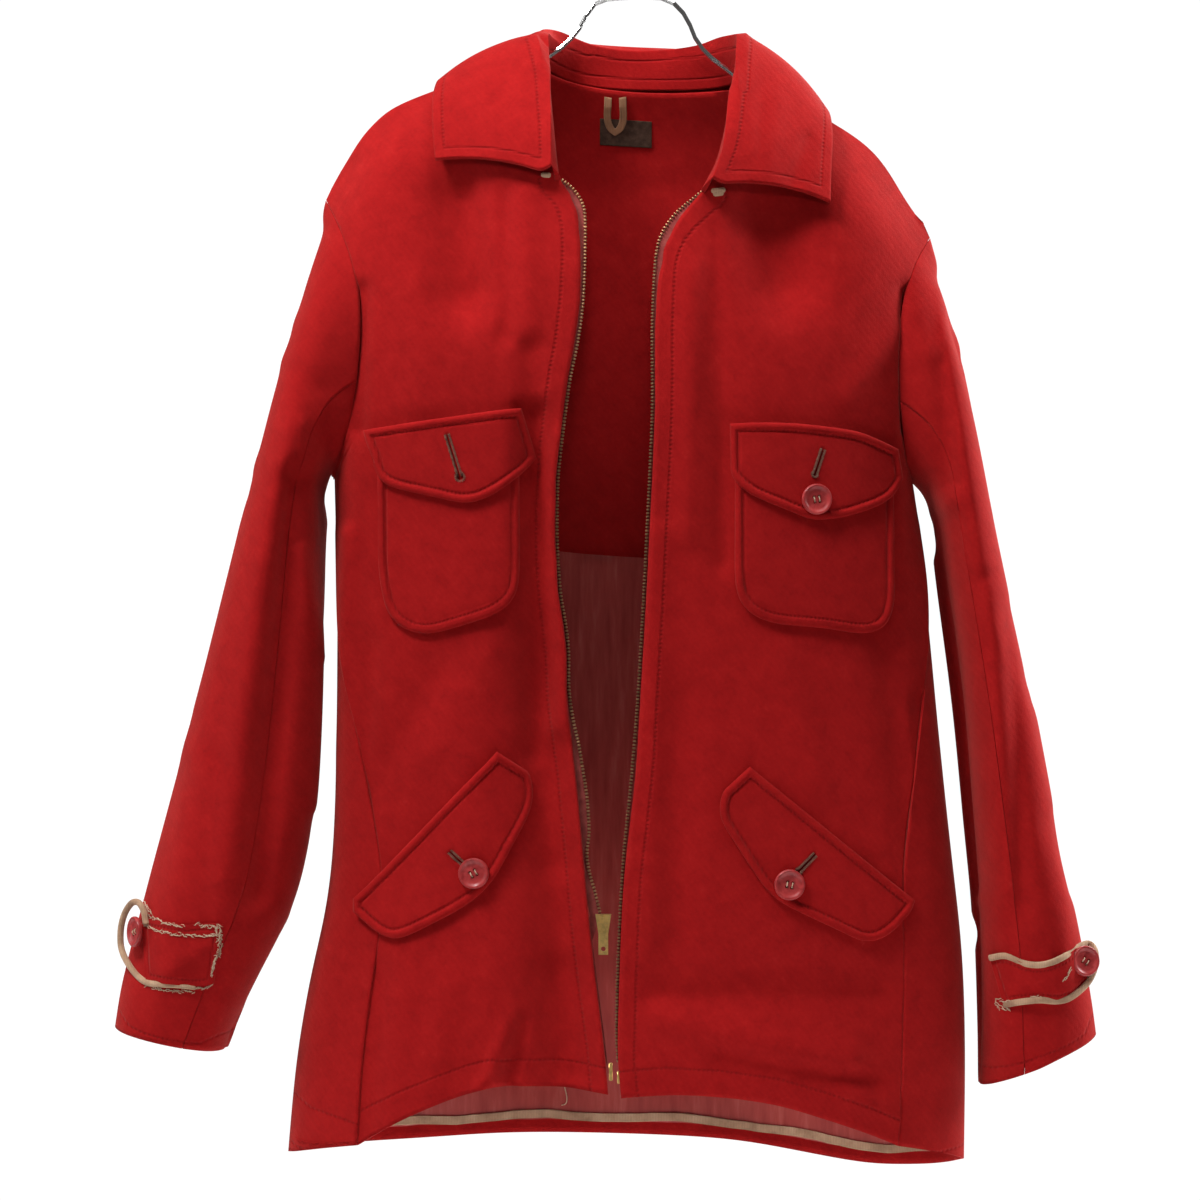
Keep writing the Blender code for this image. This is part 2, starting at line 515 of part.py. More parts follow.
def make_back(group):
    left_z = row_heights(BACK_HEM[0][1], LEFT_UNDERARM_Z, LEFT_ARMHOLE[-1][1])
    right_z = row_heights(BACK_HEM[-1][1], RIGHT_UNDERARM_Z, RIGHT_ARMHOLE[-1][1])
    start = [(180.0 - seam_angle(z), z) for z in left_z[:BODY_ROWS_LOW]]
    start += armhole_rows(LEFT_ARMHOLE, 1, LEFT_UNDERARM_Z, left_z[BODY_ROWS_LOW:])
    end = [(360.0 + seam_angle(z), z) for z in right_z[:BODY_ROWS_LOW]]
    end += armhole_rows(RIGHT_ARMHOLE, 1, RIGHT_UNDERARM_Z, right_z[BODY_ROWS_LOW:])
    upper = shoulder_points(LEFT_ARMHOLE[-1][0], 84.0)[:-1] + BACK_NECK
    upper += shoulder_points(-84.0, RIGHT_ARMHOLE[-1][0])[1:]
    upper = [(angle_at(x, z, 1), z) for x, z in upper]
    grid = coons([start[0]] + BACK_HEM[1:-1] + [end[0]], upper, start, end,
                 BODY_ROWS_LOW + BODY_ROWS_HIGH, 26)
    half = SEAM_GAP / 2

    def side_of(angle):
        return -1 if math.sin(math.radians(angle)) > 1e-6 else 1

    return body_sheet("back", grid, side_of, group, dict(left=half, right=half, top=half))


def armhole_loop(armhole, underarm_z):
    """Front and back halves of the seam as tables: share of its height, point."""
    tip_z = armhole[-1][1]
    halves = {}
    for side in (-1, 1):
        rows = []
        for k in range(BODY_ROWS_HIGH + 1):
            z = underarm_z + (tip_z - underarm_z) * k / BODY_ROWS_HIGH
            angle = armhole_rows(armhole, side, underarm_z, [z])[0][0]
            rows.append((k / BODY_ROWS_HIGH, *body_point(angle, z)))
        halves[side] = rows
    return halves


def sleeve_point(sections, loop, share, turn):
    """Turn 0 is the outer side, 90 the front, 180 the inner side, 270 the back."""
    place = share * (len(sections) - 1)
    table = [(k, *row) for k, row in enumerate(sections)]
    ox, oz, ix, iz, mid, deep = along(table, place)
    c, s = math.cos(math.radians(turn)), math.sin(math.radians(turn))
    point = Vector(((ox + ix) / 2 + (ox - ix) / 2 * c, mid - deep * s, (oz + iz) / 2 + (oz - iz) / 2 * c))
    fade = max(0.0, 1.0 - place / 3.0) ** 2
    if fade > 0:
        ox, oz, ix, iz, mid, deep = sections[0]
        first = Vector(((ox + ix) / 2 + (ox - ix) / 2 * c, mid - deep * s, (oz + iz) / 2 + (oz - iz) / 2 * c))
        seam = Vector(along(loop[-1 if s >= 0 else 1], (1.0 + c) / 2))
        point += (seam - first) * fade
    return point


def sleeve_normal(sections, loop, share, turn):
    h = 0.004
    before, after = max(share - h, 0.0), min(share + h, 1.0)
    down = sleeve_point(sections, loop, after, turn) - sleeve_point(sections, loop, before, turn)
    round_it = sleeve_point(sections, loop, share, turn + 1) - sleeve_point(sections, loop, share, turn - 1)
    normal = down.cross(round_it).normalized()
    middle = sum((sleeve_point(sections, loop, share, t) for t in (0, 90, 180, 270)), Vector()) / 4
    return normal if normal.dot(sleeve_point(sections, loop, share, turn) - middle) > 0 else -normal


def sleeve_rings():
    """Rings close together at the head, wider apart below."""
    return [(k / SLEEVE_RINGS) ** 1.12 for k in range(SLEEVE_RINGS + 1)]


def make_sleeve(side_name, sections, armhole, underarm_z, group):
    loop = armhole_loop(armhole, underarm_z)
    turn_at = [math.degrees(math.acos(2.0 * k / BODY_ROWS_HIGH - 1.0)) for k in range(BODY_ROWS_HIGH + 1)]
    around = [t - 360.0 for t in (360.0 - turn_at[k] for k in range(ELBOW_SEAM, BODY_ROWS_HIGH))]
    around += [turn_at[k] for k in range(BODY_ROWS_HIGH, FOREARM_SEAM - 1, -1)]
    below = [turn_at[k] for k in range(FOREARM_SEAM, -1, -1)]
    below += [360.0 - turn_at[k] for k in range(1, ELBOW_SEAM + 1)]
    for part, turns in (("sleeve_top_", around), ("sleeve_under_", below)):
        points, normals = [], []
        for share in sleeve_rings():
            points.append([sleeve_point(sections, loop, share, t) for t in turns])
            row = [sleeve_normal(sections, loop, share, t) for t in turns]
            if share == 0.0:
                for k, turn in enumerate(turns):
                    base = body_normal(points[0][k], -1 if math.sin(math.radians(turn)) >= 0 else 1)
                    lean = min(max(base.dot(row[k]) / 0.6, 0.0), 1.0)
                    row[k] = (base * lean + row[k] * (1.0 - lean)).normalized()
            normals.append(row)
        outer, inner = skins(points, normals, 0.0, CLOTH)
        gaps = dict(left=SEAM_GAP, right=SEAM_GAP, bottom=SEAM_GAP)
        sheet(part + side_name, trim(outer, **gaps), trim(inner, **gaps), "wool", group)
    return loop


def collar_section(share):
    """Points of one section of the collar from the neck seam over the roll to the outer edge."""
    table = []
    for k, (nx, nz, rx, ry, rz, ex, ez, side) in enumerate(COLLAR):
        ny = depth_at(nx, nz, side or 1) - side * CLOTH / 2
        if side < 0:
            nx -= math.copysign(COLLAR_IN, nx)
        else:
            nz += COLLAR_UP
        if side == 0:
            ey = level(ez)[2] + 2.0
            ez = along(SHOULDER_LINE, ex)[0] + COLLAR_OFF
        else:
            ey = depth_at(ex, ez, side) + side * COLLAR_OFF
        table.append((k, nx, ny, nz, rx, ry, rz, ex, ey, ez))
    row = along(table, share * (len(COLLAR) - 1))
    neck, roll, edge = Vector(row[0:3]), Vector(row[3:6]), Vector(row[6:9])
    out = Vector((edge.x - roll.x, edge.y - roll.y, 0.0)).normalized()
    top = roll + out * COLLAR_FOLD
    inner = roll - Vector((0, 0, COLLAR_FOLD))
    outer = roll + out * (2 * COLLAR_FOLD) - Vector((0, 0, COLLAR_FOLD))
    fall = edge - outer
    bulge = Vector((0, 0, 1)) * (0.06 * fall.length) + out * (0.05 * fall.length)
    line = [neck, neck.lerp(inner, 0.5), inner, top, outer]
    line += [outer + fall * f + bulge * (4 * f * (1 - f)) for f in (0.22, 0.48, 0.74, 1.0)]
    return line


def make_collar(group):
    cols, rows = 30, 10
    marks = [0.0, 0.09, 0.19, 0.27, 0.325, 0.38, 0.45, 0.58, 0.72, 0.86, 1.0]

    def point(u, v):
        return Vector(along_line(collar_section(u), v))

    points, normals = [], []
    for r in range(rows + 1):
        prow, nrow = [], []
        for k in range(cols + 1):
            u, v = k / cols, marks[r]
            p = point(u, v)
            du = point(min(u + 0.006, 1.0), v) - point(max(u - 0.006, 0.0), v)
            dv = point(u, min(v + 0.01, 1.0)) - point(u, max(v - 0.01, 0.0))
            prow.append(p)
            nrow.append(dv.cross(du).normalized())
        points.append(prow)
        normals.append(nrow)
    outer, inner = skins(points, normals, COLLAR_CLOTH / 2, COLLAR_CLOTH)
    sheet("collar", outer, inner, "wool", group)


def patch(name, table, lift, kind, group, cols=11, rows=PATCH_ROWS, thick=CLOTH):
    """Piece that lies on a front: its points are the front's, moved out."""
    points, normals = [], []
    for r in range(rows + 1):
        prow = []
        for k in range(cols + 1):
            ux, uz, lx, lz = along_line(table, k / cols)
            x, z = ux + (lx - ux) * r / rows, uz + (lz - uz) * r / rows
            prow.append(Vector((x, depth_at(x, z, -1), z)))
        points.append(prow)
        normals.append([body_normal(p, -1) for p in prow])
    outer, inner = skins(points, normals, lift + thick, thick)
    return sheet(name, outer, inner, kind, group)


def between_rows(grid, place):
    row = min(int(place), len(grid) - 2)
    return [a.lerp(b, place - row) for a, b in zip(grid[row], grid[row + 1])]


def make_lining(back, group):
    """Satin lining of the back, from its upper seam to just above the hem, and its tape."""
    points, normals = [[row[LINING_COLUMNS[0]:LINING_COLUMNS[1]] for row in grid] for grid in back]

    def band(places, sink, thick):
        rows = [between_rows(points, k) for k in places]
        leans = [[n.normalized() for n in between_rows(normals, k)] for k in places]
        return skins(rows, leans, -sink, thick)

    outer, inner = band([LINING_LOW] + list(range(1, LINING_ROWS + 1)), CLOTH + LAY_GAP, LINING)
    sheet("lining_back", outer, inner, "rose_satin", group)
    outer, inner = band([LINING_LOW, LINING_LOW + LINING_TAPE], CLOTH + 2 * LAY_GAP + LINING, TAPE)
    sheet("lining_binding", outer, inner, "tan_tape", group)


def make_zip_tape(name, edge, zip_row, inwards, group):
    rows, cols = 22, 2
    low, high, reach = zip_row
    points, normals = [], []
    for r in range(rows + 1):
        z = low + (high - low) * r / rows
        x = along(edge, z)[0]
        span = [x + inwards * (ZIP_TAPE_IN - (ZIP_TAPE_IN + reach) * k / cols)
                for k in range(cols + 1)]
        prow = [Vector((px, depth_at(px, z, -1), z)) for px in span]
        points.append(prow)
        normals.append([body_normal(p, -1) for p in prow])
    outer, inner = skins(points, normals, -(CLOTH + 1.5 * LAY_GAP), TAPE)
    sheet(name, outer, inner, "rose_satin", group)


def box(builder, low, high):
    made = bmesh.ops.create_cube(builder, size=1.0)["verts"]
    low, high = Vector(low), Vector(high)
    bmesh.ops.scale(builder, verts=made, vec=high - low)
    bmesh.ops.translate(builder, verts=made, vec=(low + high) / 2)
    return made


def cutter(name, builder, origin, group):
    thing = finish_object(name, builder, "chrome", group, origin)
    thing.hide_render = True
    thing.display_type = "WIRE"
    return thing


def apply_boolean(target, tool, operation):
    change = target.modifiers.new(tool.name, "BOOLEAN")
    change.object = tool
    change.operation = operation
    change.solver = "EXACT"


def make_button(name, place, normal, group, cut_group):
    profile = [(0.0, 0.0), (BUTTON_RADIUS - 1.2, 0.0), (BUTTON_RADIUS, 1.2),
               (BUTTON_RADIUS, BUTTON_THICK - 0.9), (BUTTON_RADIUS - 0.7, BUTTON_THICK),
               (BUTTON_RADIUS - BUTTON_RIM, BUTTON_THICK - 0.1),
               (BUTTON_RADIUS - BUTTON_RIM - 1.0, BUTTON_THICK - BUTTON_DISH),
               (0.0, BUTTON_THICK - BUTTON_DISH - 0.2)]
    builder = bmesh.new()
    line = [builder.verts.new((r, 0.0, z)) for r, z in profile]
    edges = [builder.edges.new(pair) for pair in zip(line, line[1:])]
    bmesh.ops.spin(builder, geom=line + edges, cent=(0, 0, 0), axis=(0, 0, 1),
                   angle=2 * math.pi, steps=16, use_merge=True)
    bmesh.ops.remove_doubles(builder, verts=builder.verts, dist=0.001)
    thing = finish_object(name, builder, "button_resin", group)
    drill = bmesh.new()
    for k in range(4):
        turn = math.radians(45.0 + 90.0 * k)
        made = bmesh.ops.create_cone(drill, cap_ends=True, segments=6, radius1=BUTTON_HOLE,
                                     radius2=BUTTON_HOLE, depth=4 * BUTTON_THICK)["verts"]
        bmesh.ops.translate(drill, verts=made, vec=(BUTTON_HOLE_FROM_CENTRE * math.cos(turn),
                                                    BUTTON_HOLE_FROM_CENTRE * math.sin(turn), 0.0))
    tool = cutter(name + "_holes", drill, Vector((0, 0, 0)), cut_group)
    pose = normal.to_track_quat("Z", "Y")
    for item in (thing, tool):
        item.location = place * MM
        item.rotation_mode = "QUATERNION"
        item.rotation_quaternion = pose
    apply_boolean(thing, tool, "DIFFERENCE")


def make_front_buttons(group, cut_group):
    for name, x, z, layers in FRONT_BUTTONS:
        point = Vector((x, depth_at(x, z, -1), z))
        normal = body_normal(point, -1)
        lift = layers * (CLOTH + LAY_GAP) + BUTTON_SEAT
        make_button(name, point + normal * lift, normal, group, cut_group)


def make_cuff_tab(side_name, sections, loop, group, cut_group):
    middle, half, first, last, button_turn = CUFF_TABS[side_name]
    cols, rows = 12, 2

    def band(low, high, first, last, lift, thick, count):
        points, normals = [], []
        for r in range(count + 1):
            share = low + (high - low) * r / count
            turns = [first + (last - first) * k / cols for k in range(cols + 1)]
            points.append([sleeve_point(sections, loop, share, t) for t in turns])
            normals.append([sleeve_normal(sections, loop, share, t) for t in turns])
        return skins(points, normals, lift + thick, thick)

    outer, inner = band(middle - half, middle + half, first, last, LAY_GAP, CLOTH, rows)
    sheet("cuff_tab_" + side_name, outer, inner, "wool", group)
    outer, inner = band(middle + half - TAB_BINDING, middle + half, first, last,
                        CLOTH + 2 * LAY_GAP, TAPE, 1)
    sheet("cuff_binding_" + side_name, outer, inner, "tan_tape", group)
    place = sleeve_point(sections, loop, middle - BUTTON_ABOVE, button_turn)
    normal = sleeve_normal(sections, loop, middle - BUTTON_ABOVE, button_turn)
    make_button("button_cuff_" + side_name, place + normal * (CLOTH + LAY_GAP + BUTTON_SEAT), normal,
                group, cut_group)


def make_wire(name, line, radius, y, group):
    curve = bpy.data.curves.new(name, "CURVE")
    curve.dimensions = "3D"
    curve.bevel_depth = radius * MM
    curve.bevel_resolution = 1
    curve.use_fill_caps = True
    curve.resolution_u = 1
    spline = curve.splines.new("POLY")
    count = 2 * len(line)
    places = [along_line(line, k / count) for k in range(count + 1)]
    spline.points.add(count)
    for point, (x, z) in zip(spline.points, places):
        point.co = (x * MM, y * MM, z * MM, 1.0)
    thing = bpy.data.objects.new(name, curve)
    curve.materials.append(material_for(name + "_surface", "chrome"))
    group.objects.link(thing)


def make_hanger(group):
    make_wire("hanger_wire_front", HANGER_LINE, WIRE, -WIRE_APART / 2, group)
    make_wire("hanger_wire_back", HANGER_LINE, WIRE, WIRE_APART / 2, group)
    make_wire("hanger_hook", HOOK_LINE, HOOK_WIRE, 0.0, group)
    builder = bmesh.new()
    bmesh.ops.create_cone(builder, cap_ends=True, segments=20, radius1=SWIVEL_RADIUS,
                          radius2=SWIVEL_RADIUS, depth=SWIVEL_TALL)
    arch = HANGER_LINE[11][1] + WIRE
    bmesh.ops.translate(builder, verts=builder.verts, vec=(0, 0, arch + SEAM_GAP + SWIVEL_TALL / 2))
    finish_object("hanger_swivel", builder, "chrome", group)


def make_slider(group, cut_group):
    edge_y = depth_at(SLIDER_X, SLIDER_Z, -1)
    back = edge_y + CLOTH + 1.5 * LAY_GAP - SEAM_GAP
    front = back - SLIDER_DEEP
    builder = bmesh.new()
    body = box(builder, (SLIDER_X - SLIDER_WIDE / 2, front, SLIDER_Z - SLIDER_TALL / 2),
               (SLIDER_X + SLIDER_WIDE / 2, back, SLIDER_Z + SLIDER_TALL / 2))
    lower = [v for v in body if v.co.z < SLIDER_Z]
    bmesh.ops.scale(builder, verts=lower, vec=(SLIDER_FOOT, 1.0, 1.0),
                    space=Matrix.Translation((-SLIDER_X, 0.0, 0.0)))
    slider = finish_object("zip_slider", builder, "brass", group)
    top = SLIDER_Z + BRIDGE_TALL / 2
    low = SLIDER_Z - BRIDGE_TALL / 2
    out = front - BRIDGE_OUT
    bridge = bmesh.new()
    box(bridge, (SLIDER_X - BRIDGE_WIDE / 2, out - BRIDGE_THICK, low),
        (SLIDER_X + BRIDGE_WIDE / 2, front + 0.4, top))
    tool = cutter("zip_bridge", bridge, Vector((0, 0, 0)), cut_group)
    apply_boolean(slider, tool, "UNION")
    hollow = bmesh.new()
    box(hollow, (SLIDER_X - BRIDGE_WIDE, out, low + 1.2),
        (SLIDER_X + BRIDGE_WIDE, front, top - 1.2))
    tool = cutter("zip_bridge_inside", hollow, Vector((0, 0, 0)), cut_group)
    apply_boolean(slider, tool, "DIFFERENCE")
    return Vector((SLIDER_X, (out + front) / 2, SLIDER_Z))


def make_pull(axis, group, cut_group):
    builder = bmesh.new()
    box(builder, axis + Vector((-PULL_WIDE / 2, -PULL_THICK / 2, -PULL_LONG)),
        axis + Vector((PULL_WIDE / 2, PULL_THICK / 2, PULL_BAR)))
    pull = finish_object("zip_pull", builder, "brass", group, axis)
    window = bmesh.new()
    box(window, axis + Vector((-PULL_WINDOW_WIDE / 2, -3.0, -PULL_WINDOW_LONG)),
        axis + Vector((PULL_WINDOW_WIDE / 2, 3.0, -PULL_BAR)))
    apply_boolean(pull, cutter("zip_pull_window", window, axis, cut_group), "DIFFERENCE")
    hole = bmesh.new()
    made = bmesh.ops.create_cone(hole, cap_ends=True, segments=16, radius1=PULL_HOLE,
                                 radius2=PULL_HOLE, depth=8.0)["verts"]
    bmesh.ops.rotate(hole, verts=made, matrix=Vector((0, 1, 0)).to_track_quat("Z", "Y").to_matrix())
    bmesh.ops.translate(hole, verts=made, vec=axis + Vector((0, 0, -PULL_LONG + 4.2)))
    apply_boolean(pull, cutter("zip_pull_hole", hole, axis, cut_group), "DIFFERENCE")


def make_neck_trim(group):
    """Label and hanging loop on the inside of the back's neck."""
    def inside(x, z, sink):
        p = Vector((x, depth_at(x, z, 1), z))
        return p - body_normal(p, 1) * sink

    def strip(name, corners, rows, cols, sink, thick, kind):
        outer, inner = [], []
        for r in range(rows + 1):
            row_a, row_b = [], []
            for k in range(cols + 1):
                x, z = corners(k / cols, r / rows)
                row_a.append(inside(x, z, sink))
                row_b.append(inside(x, z, sink + thick))
            outer.append(row_a)
            inner.append(row_b)
        sheet(name, outer, inner, kind, group)

    cx, cz = LABEL_MIDDLE
    wide, tall = LABEL_SIZE
    tilt = 0.06
    sink = CLOTH + NECK_SINK
    strip("label", lambda s, t: (cx + wide * (s - 0.5), cz - tilt * wide * (s - 0.5) + tall * (0.5 - t)),
          4, 8, sink, TAPE, "label_cloth")

    def loop_line(s, t):
        """The tape goes down, turns and comes back up, flat against the back."""
        here = Vector(along_line(LOOP_LINE, s))
        ahead = Vector(along_line(LOOP_LINE, min(s + 0.02, 1.0))) - Vector(
            along_line(LOOP_LINE, max(s - 0.02, 0.0)))
        ahead.normalize()
        out = LOOP_WIDE * (t - 0.5)
        return here.x - ahead.y * out, here.y + ahead.x * out

    strip("hanging_loop", loop_line, 1, 12, sink + TAPE + LAY_GAP, TAPE, "tan_tape")


def build():
    clear_scene()
    group = new_collection("hunting_jacket_on_hanger")
    cut_group = new_collection("cutters")
    make_front("front_right", RIGHT_EDGE, RIGHT_HEM, RIGHT_ARMHOLE,
               shoulder_points(-84.0, RIGHT_ARMHOLE[-1][0]), RIGHT_UNDERARM_Z, 12, group)
    make_front("front_left", LEFT_EDGE, LEFT_HEM, LEFT_ARMHOLE,
               shoulder_points(84.0, LEFT_ARMHOLE[-1][0]), LEFT_UNDERARM_Z, 13, group)
    back = make_back(group)
    right_loop = make_sleeve("right", RIGHT_SLEEVE, RIGHT_ARMHOLE, RIGHT_UNDERARM_Z, group)
    left_loop = make_sleeve("left", LEFT_SLEEVE, LEFT_ARMHOLE, LEFT_UNDERARM_Z, group)
    make_collar(group)
    patch("chest_pocket_right", RIGHT_CHEST_BAG, LAY_GAP, "wool", group)
    patch("chest_pocket_left", LEFT_CHEST_BAG, LAY_GAP, "wool", group)
    flap_lift = CLOTH + 2 * LAY_GAP
    patch("chest_flap_right", RIGHT_CHEST_FLAP, flap_lift, "wool", group)
    patch("chest_flap_left", LEFT_CHEST_FLAP, flap_lift, "wool", group)
    patch("lower_flap_right", RIGHT_LOWER_FLAP, 1.7 * LAY_GAP, "wool", group)
    patch("lower_flap_left", LEFT_LOWER_FLAP, LAY_GAP, "wool", group)
    make_lining(back, group)
    make_zip_tape("zip_tape_right", RIGHT_EDGE, RIGHT_ZIP, -1.0, group)
    make_zip_tape("zip_tape_left", LEFT_EDGE, LEFT_ZIP, 1.0, group)
    make_front_buttons(group, cut_group)
    make_cuff_tab("right", RIGHT_SLEEVE, right_loop, group, cut_group)
    make_cuff_tab("left", LEFT_SLEEVE, left_loop, group, cut_group)
    make_neck_trim(group)
    make_hanger(group)
    make_pull(make_slider(group, cut_group), group, cut_group)


build()
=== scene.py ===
"""Looks of the red wool hunting jacket on its wire hanger.

Metres, +Z up, -Y the front; tables that say so are in millimetres. "Right" and "left" are the
wearer's, so the right side has negative X.
"""
import math

import bmesh
import bpy
import numpy as np
from mathutils import Matrix, Vector
from mathutils.bvhtree import BVHTree
from mathutils.kdtree import KDTree


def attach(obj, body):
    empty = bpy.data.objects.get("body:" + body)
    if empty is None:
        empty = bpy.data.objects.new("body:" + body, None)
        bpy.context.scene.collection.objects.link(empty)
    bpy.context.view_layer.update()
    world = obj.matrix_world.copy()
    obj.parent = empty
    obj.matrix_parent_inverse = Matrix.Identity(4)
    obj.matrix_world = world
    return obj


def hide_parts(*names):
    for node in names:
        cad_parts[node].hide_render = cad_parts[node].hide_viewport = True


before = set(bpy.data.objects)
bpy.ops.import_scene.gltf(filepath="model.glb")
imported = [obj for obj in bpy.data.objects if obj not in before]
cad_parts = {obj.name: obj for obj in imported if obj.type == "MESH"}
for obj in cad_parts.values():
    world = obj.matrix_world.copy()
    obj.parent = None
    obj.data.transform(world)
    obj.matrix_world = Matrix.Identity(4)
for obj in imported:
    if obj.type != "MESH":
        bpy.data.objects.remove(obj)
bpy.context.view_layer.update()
BODY = "jacket_on_hanger"

# Camera, light and floor.
# The jacket hangs in front of a white ground, lit softly from the upper left of the front.
scene = bpy.context.scene
scene.view_settings.view_transform = "Standard"
scene.view_settings.look = "None"

camera_data = bpy.data.cameras.new("camera")
camera_data.lens = 104.0
camera_data.sensor_width = 36.0
camera = bpy.data.objects.new("camera", camera_data)
camera.location = (-0.03, -2.6, -0.5273)
camera.rotation_euler = (math.radians(90.0), 0.0, 0.0)
scene.collection.objects.link(camera)
scene.camera = camera


def hang_lamp(name, kind, watts, place, aim):
    """Lamp at a place, turned towards a spot."""
    data = bpy.data.lights.new(name, kind)
    data.energy = watts
    lamp = bpy.data.objects.new(name, data)
    lamp.location = place
    lamp.rotation_euler = (Vector(aim) - Vector(place)).to_track_quat("-Z", "Y").to_euler()
    scene.collection.objects.link(lamp)
    return data


# name, place, width, watts, aimed at
for name, place, width, watts, aim in [
    ("key_light", (-1.05, -0.95, 1.40), 0.6, 56.0, (-0.03, 0.0, -0.45)),
    ("top_light", (0.15, -0.50, 1.35), 0.7, 15.0, (0.0, 0.0, -0.3)),
    ("right_light", (1.9, 0.50, 0.30), 0.8, 60.0, (0.1, 0.0, -0.5)),
    ("left_light", (-2.0, 0.05, -0.1), 1.0, 12.0, (-0.1, 0.0, -0.5)),
    ("front_light", (0.2, -3.2, -0.2), 1.6, 3.0, (0.0, 0.0, -0.5)),
    ("back_light", (0.9, 2.1, 0.7), 1.4, 50.0, (0.0, 0.0, -0.5)),
]:
    hang_lamp(name, "AREA", watts, place, aim).size = width
# a narrow soft spot for the inside of the neck
neck_lamp = hang_lamp("neck_light", "SPOT", 76.0, (-0.03, -1.9, 0.10), (-0.018, 0.0, -0.25))
neck_lamp.spot_size = math.radians(8.0)
neck_lamp.spot_blend = 1.0
neck_lamp.shadow_soft_size = 0.12

world = bpy.data.worlds.new("studio")
world.use_nodes = True
scene.world = world
nodes, links = world.node_tree.nodes, world.node_tree.links
nodes.clear()
seen = nodes.new("ShaderNodeBackground")
seen.inputs["Color"].default_value = (1.0, 1.0, 1.0, 1.0)
seen.inputs["Strength"].default_value = 1.05
fill = nodes.new("ShaderNodeBackground")
fill.inputs["Color"].default_value = (1.0, 0.99, 0.98, 1.0)
fill.inputs["Strength"].default_value = 0.09
ray = nodes.new("ShaderNodeLightPath")
mix = nodes.new("ShaderNodeMixShader")
out = nodes.new("ShaderNodeOutputWorld")
links.new(ray.outputs["Is Camera Ray"], mix.inputs["Fac"])
links.new(fill.outputs["Background"], mix.inputs[1])
links.new(seen.outputs["Background"], mix.inputs[2])
links.new(mix.outputs["Shader"], out.inputs["Surface"])

bm = bmesh.new()
bmesh.ops.create_circle(bm, cap_ends=True, radius=1.15, segments=96)
bmesh.ops.translate(bm, verts=bm.verts, vec=(0.0, 0.0, -1.22))
floor_mesh = bpy.data.meshes.new("studio_floor")
bm.to_mesh(floor_mesh)
bm.free()
floor = bpy.data.objects.new("studio_floor", floor_mesh)
scene.collection.objects.link(floor)
floor_paint = bpy.data.materials.new("studio_floor")
floor_paint.use_nodes = True
shader = floor_paint.node_tree.nodes["Principled BSDF"]
shader.inputs["Base Color"].default_value = (0.9, 0.9, 0.9, 1.0)
shader.inputs["Roughness"].default_value = 0.7
floor_mesh.materials.append(floor_paint)

# The wool.
# Heavy fulled wool in a 2/1 twill, piece dyed red and napped: blurred twill ribs, a mottled
# nap, paler fibre ends, and painted shade that darkens the cloth along its stitched grooves.


def link_math(tree, kind, first, second=None, clamp=False):
    """One Math node; its inputs are sockets or plain numbers."""
    node = tree.nodes.new("ShaderNodeMath")
    node.operation = kind
    node.use_clamp = clamp
    for socket, value in zip(node.inputs, (first, second)):
        if value is None:
            continue
        if isinstance(value, (int, float)):
            socket.default_value = value
        else:
            tree.links.new(value, socket)
    return node.outputs[0]


def noise(tree, vector, scale, detail=3.0, rough=0.55, distort=0.0):
    node = tree.nodes.new("ShaderNodeTexNoise")
    node.inputs["Scale"].default_value = scale
    node.inputs["Detail"].default_value = detail
    node.inputs["Roughness"].default_value = rough
    node.inputs["Distortion"].default_value = distort
    tree.links.new(vector, node.inputs["Vector"])
    return node.outputs["Fac"]


def ramp(tree, value, stops):
    """Colour ramp from (place, colour) stops."""
    node = tree.nodes.new("ShaderNodeValToRGB")
    while len(node.color_ramp.elements) < len(stops):
        node.color_ramp.elements.new(0.5)
    for element, (place, colour) in zip(node.color_ramp.elements, stops):
        element.position = place
        element.color = (*colour, 1.0)
    tree.links.new(value, node.inputs["Fac"])
    return node.outputs["Color"]


def blend(tree, share, first, second, kind="MIX"):
    node = tree.nodes.new("ShaderNodeMix")
    node.data_type = "RGBA"
    node.blend_type = kind
    for socket, value in ((node.inputs[0], share), (node.inputs[6], first), (node.inputs[7], second)):
        if isinstance(value, (int, float)):
            socket.default_value = value
        elif isinstance(value, tuple):
            socket.default_value = (*value, 1.0)
        else:
            tree.links.new(value, socket)
    return node.outputs[2]


def bump_into(tree, shader, height, strength, distance):
    node = tree.nodes.new("ShaderNodeBump")
    node.inputs["Strength"].default_value = strength
    node.inputs["Distance"].default_value = distance
    tree.links.new(height, node.inputs["Height"])
    tree.links.new(node.outputs["Normal"], shader.inputs["Normal"])


wool_group = bpy.data.node_groups.new("fulled_twill", "ShaderNodeTree")
for name, flow, kind in [("Vector", "INPUT", "NodeSocketVector"), ("GrooveShade", "INPUT", "NodeSocketFloat"),
                         ("Color", "OUTPUT", "NodeSocketColor"), ("Height", "OUTPUT", "NodeSocketFloat")]:
    wool_group.interface.new_socket(name=name, in_out=flow, socket_type=kind)
inside = wool_group.nodes.new("NodeGroupInput")
outside = wool_group.nodes.new("NodeGroupOutput")
place = inside.outputs["Vector"]
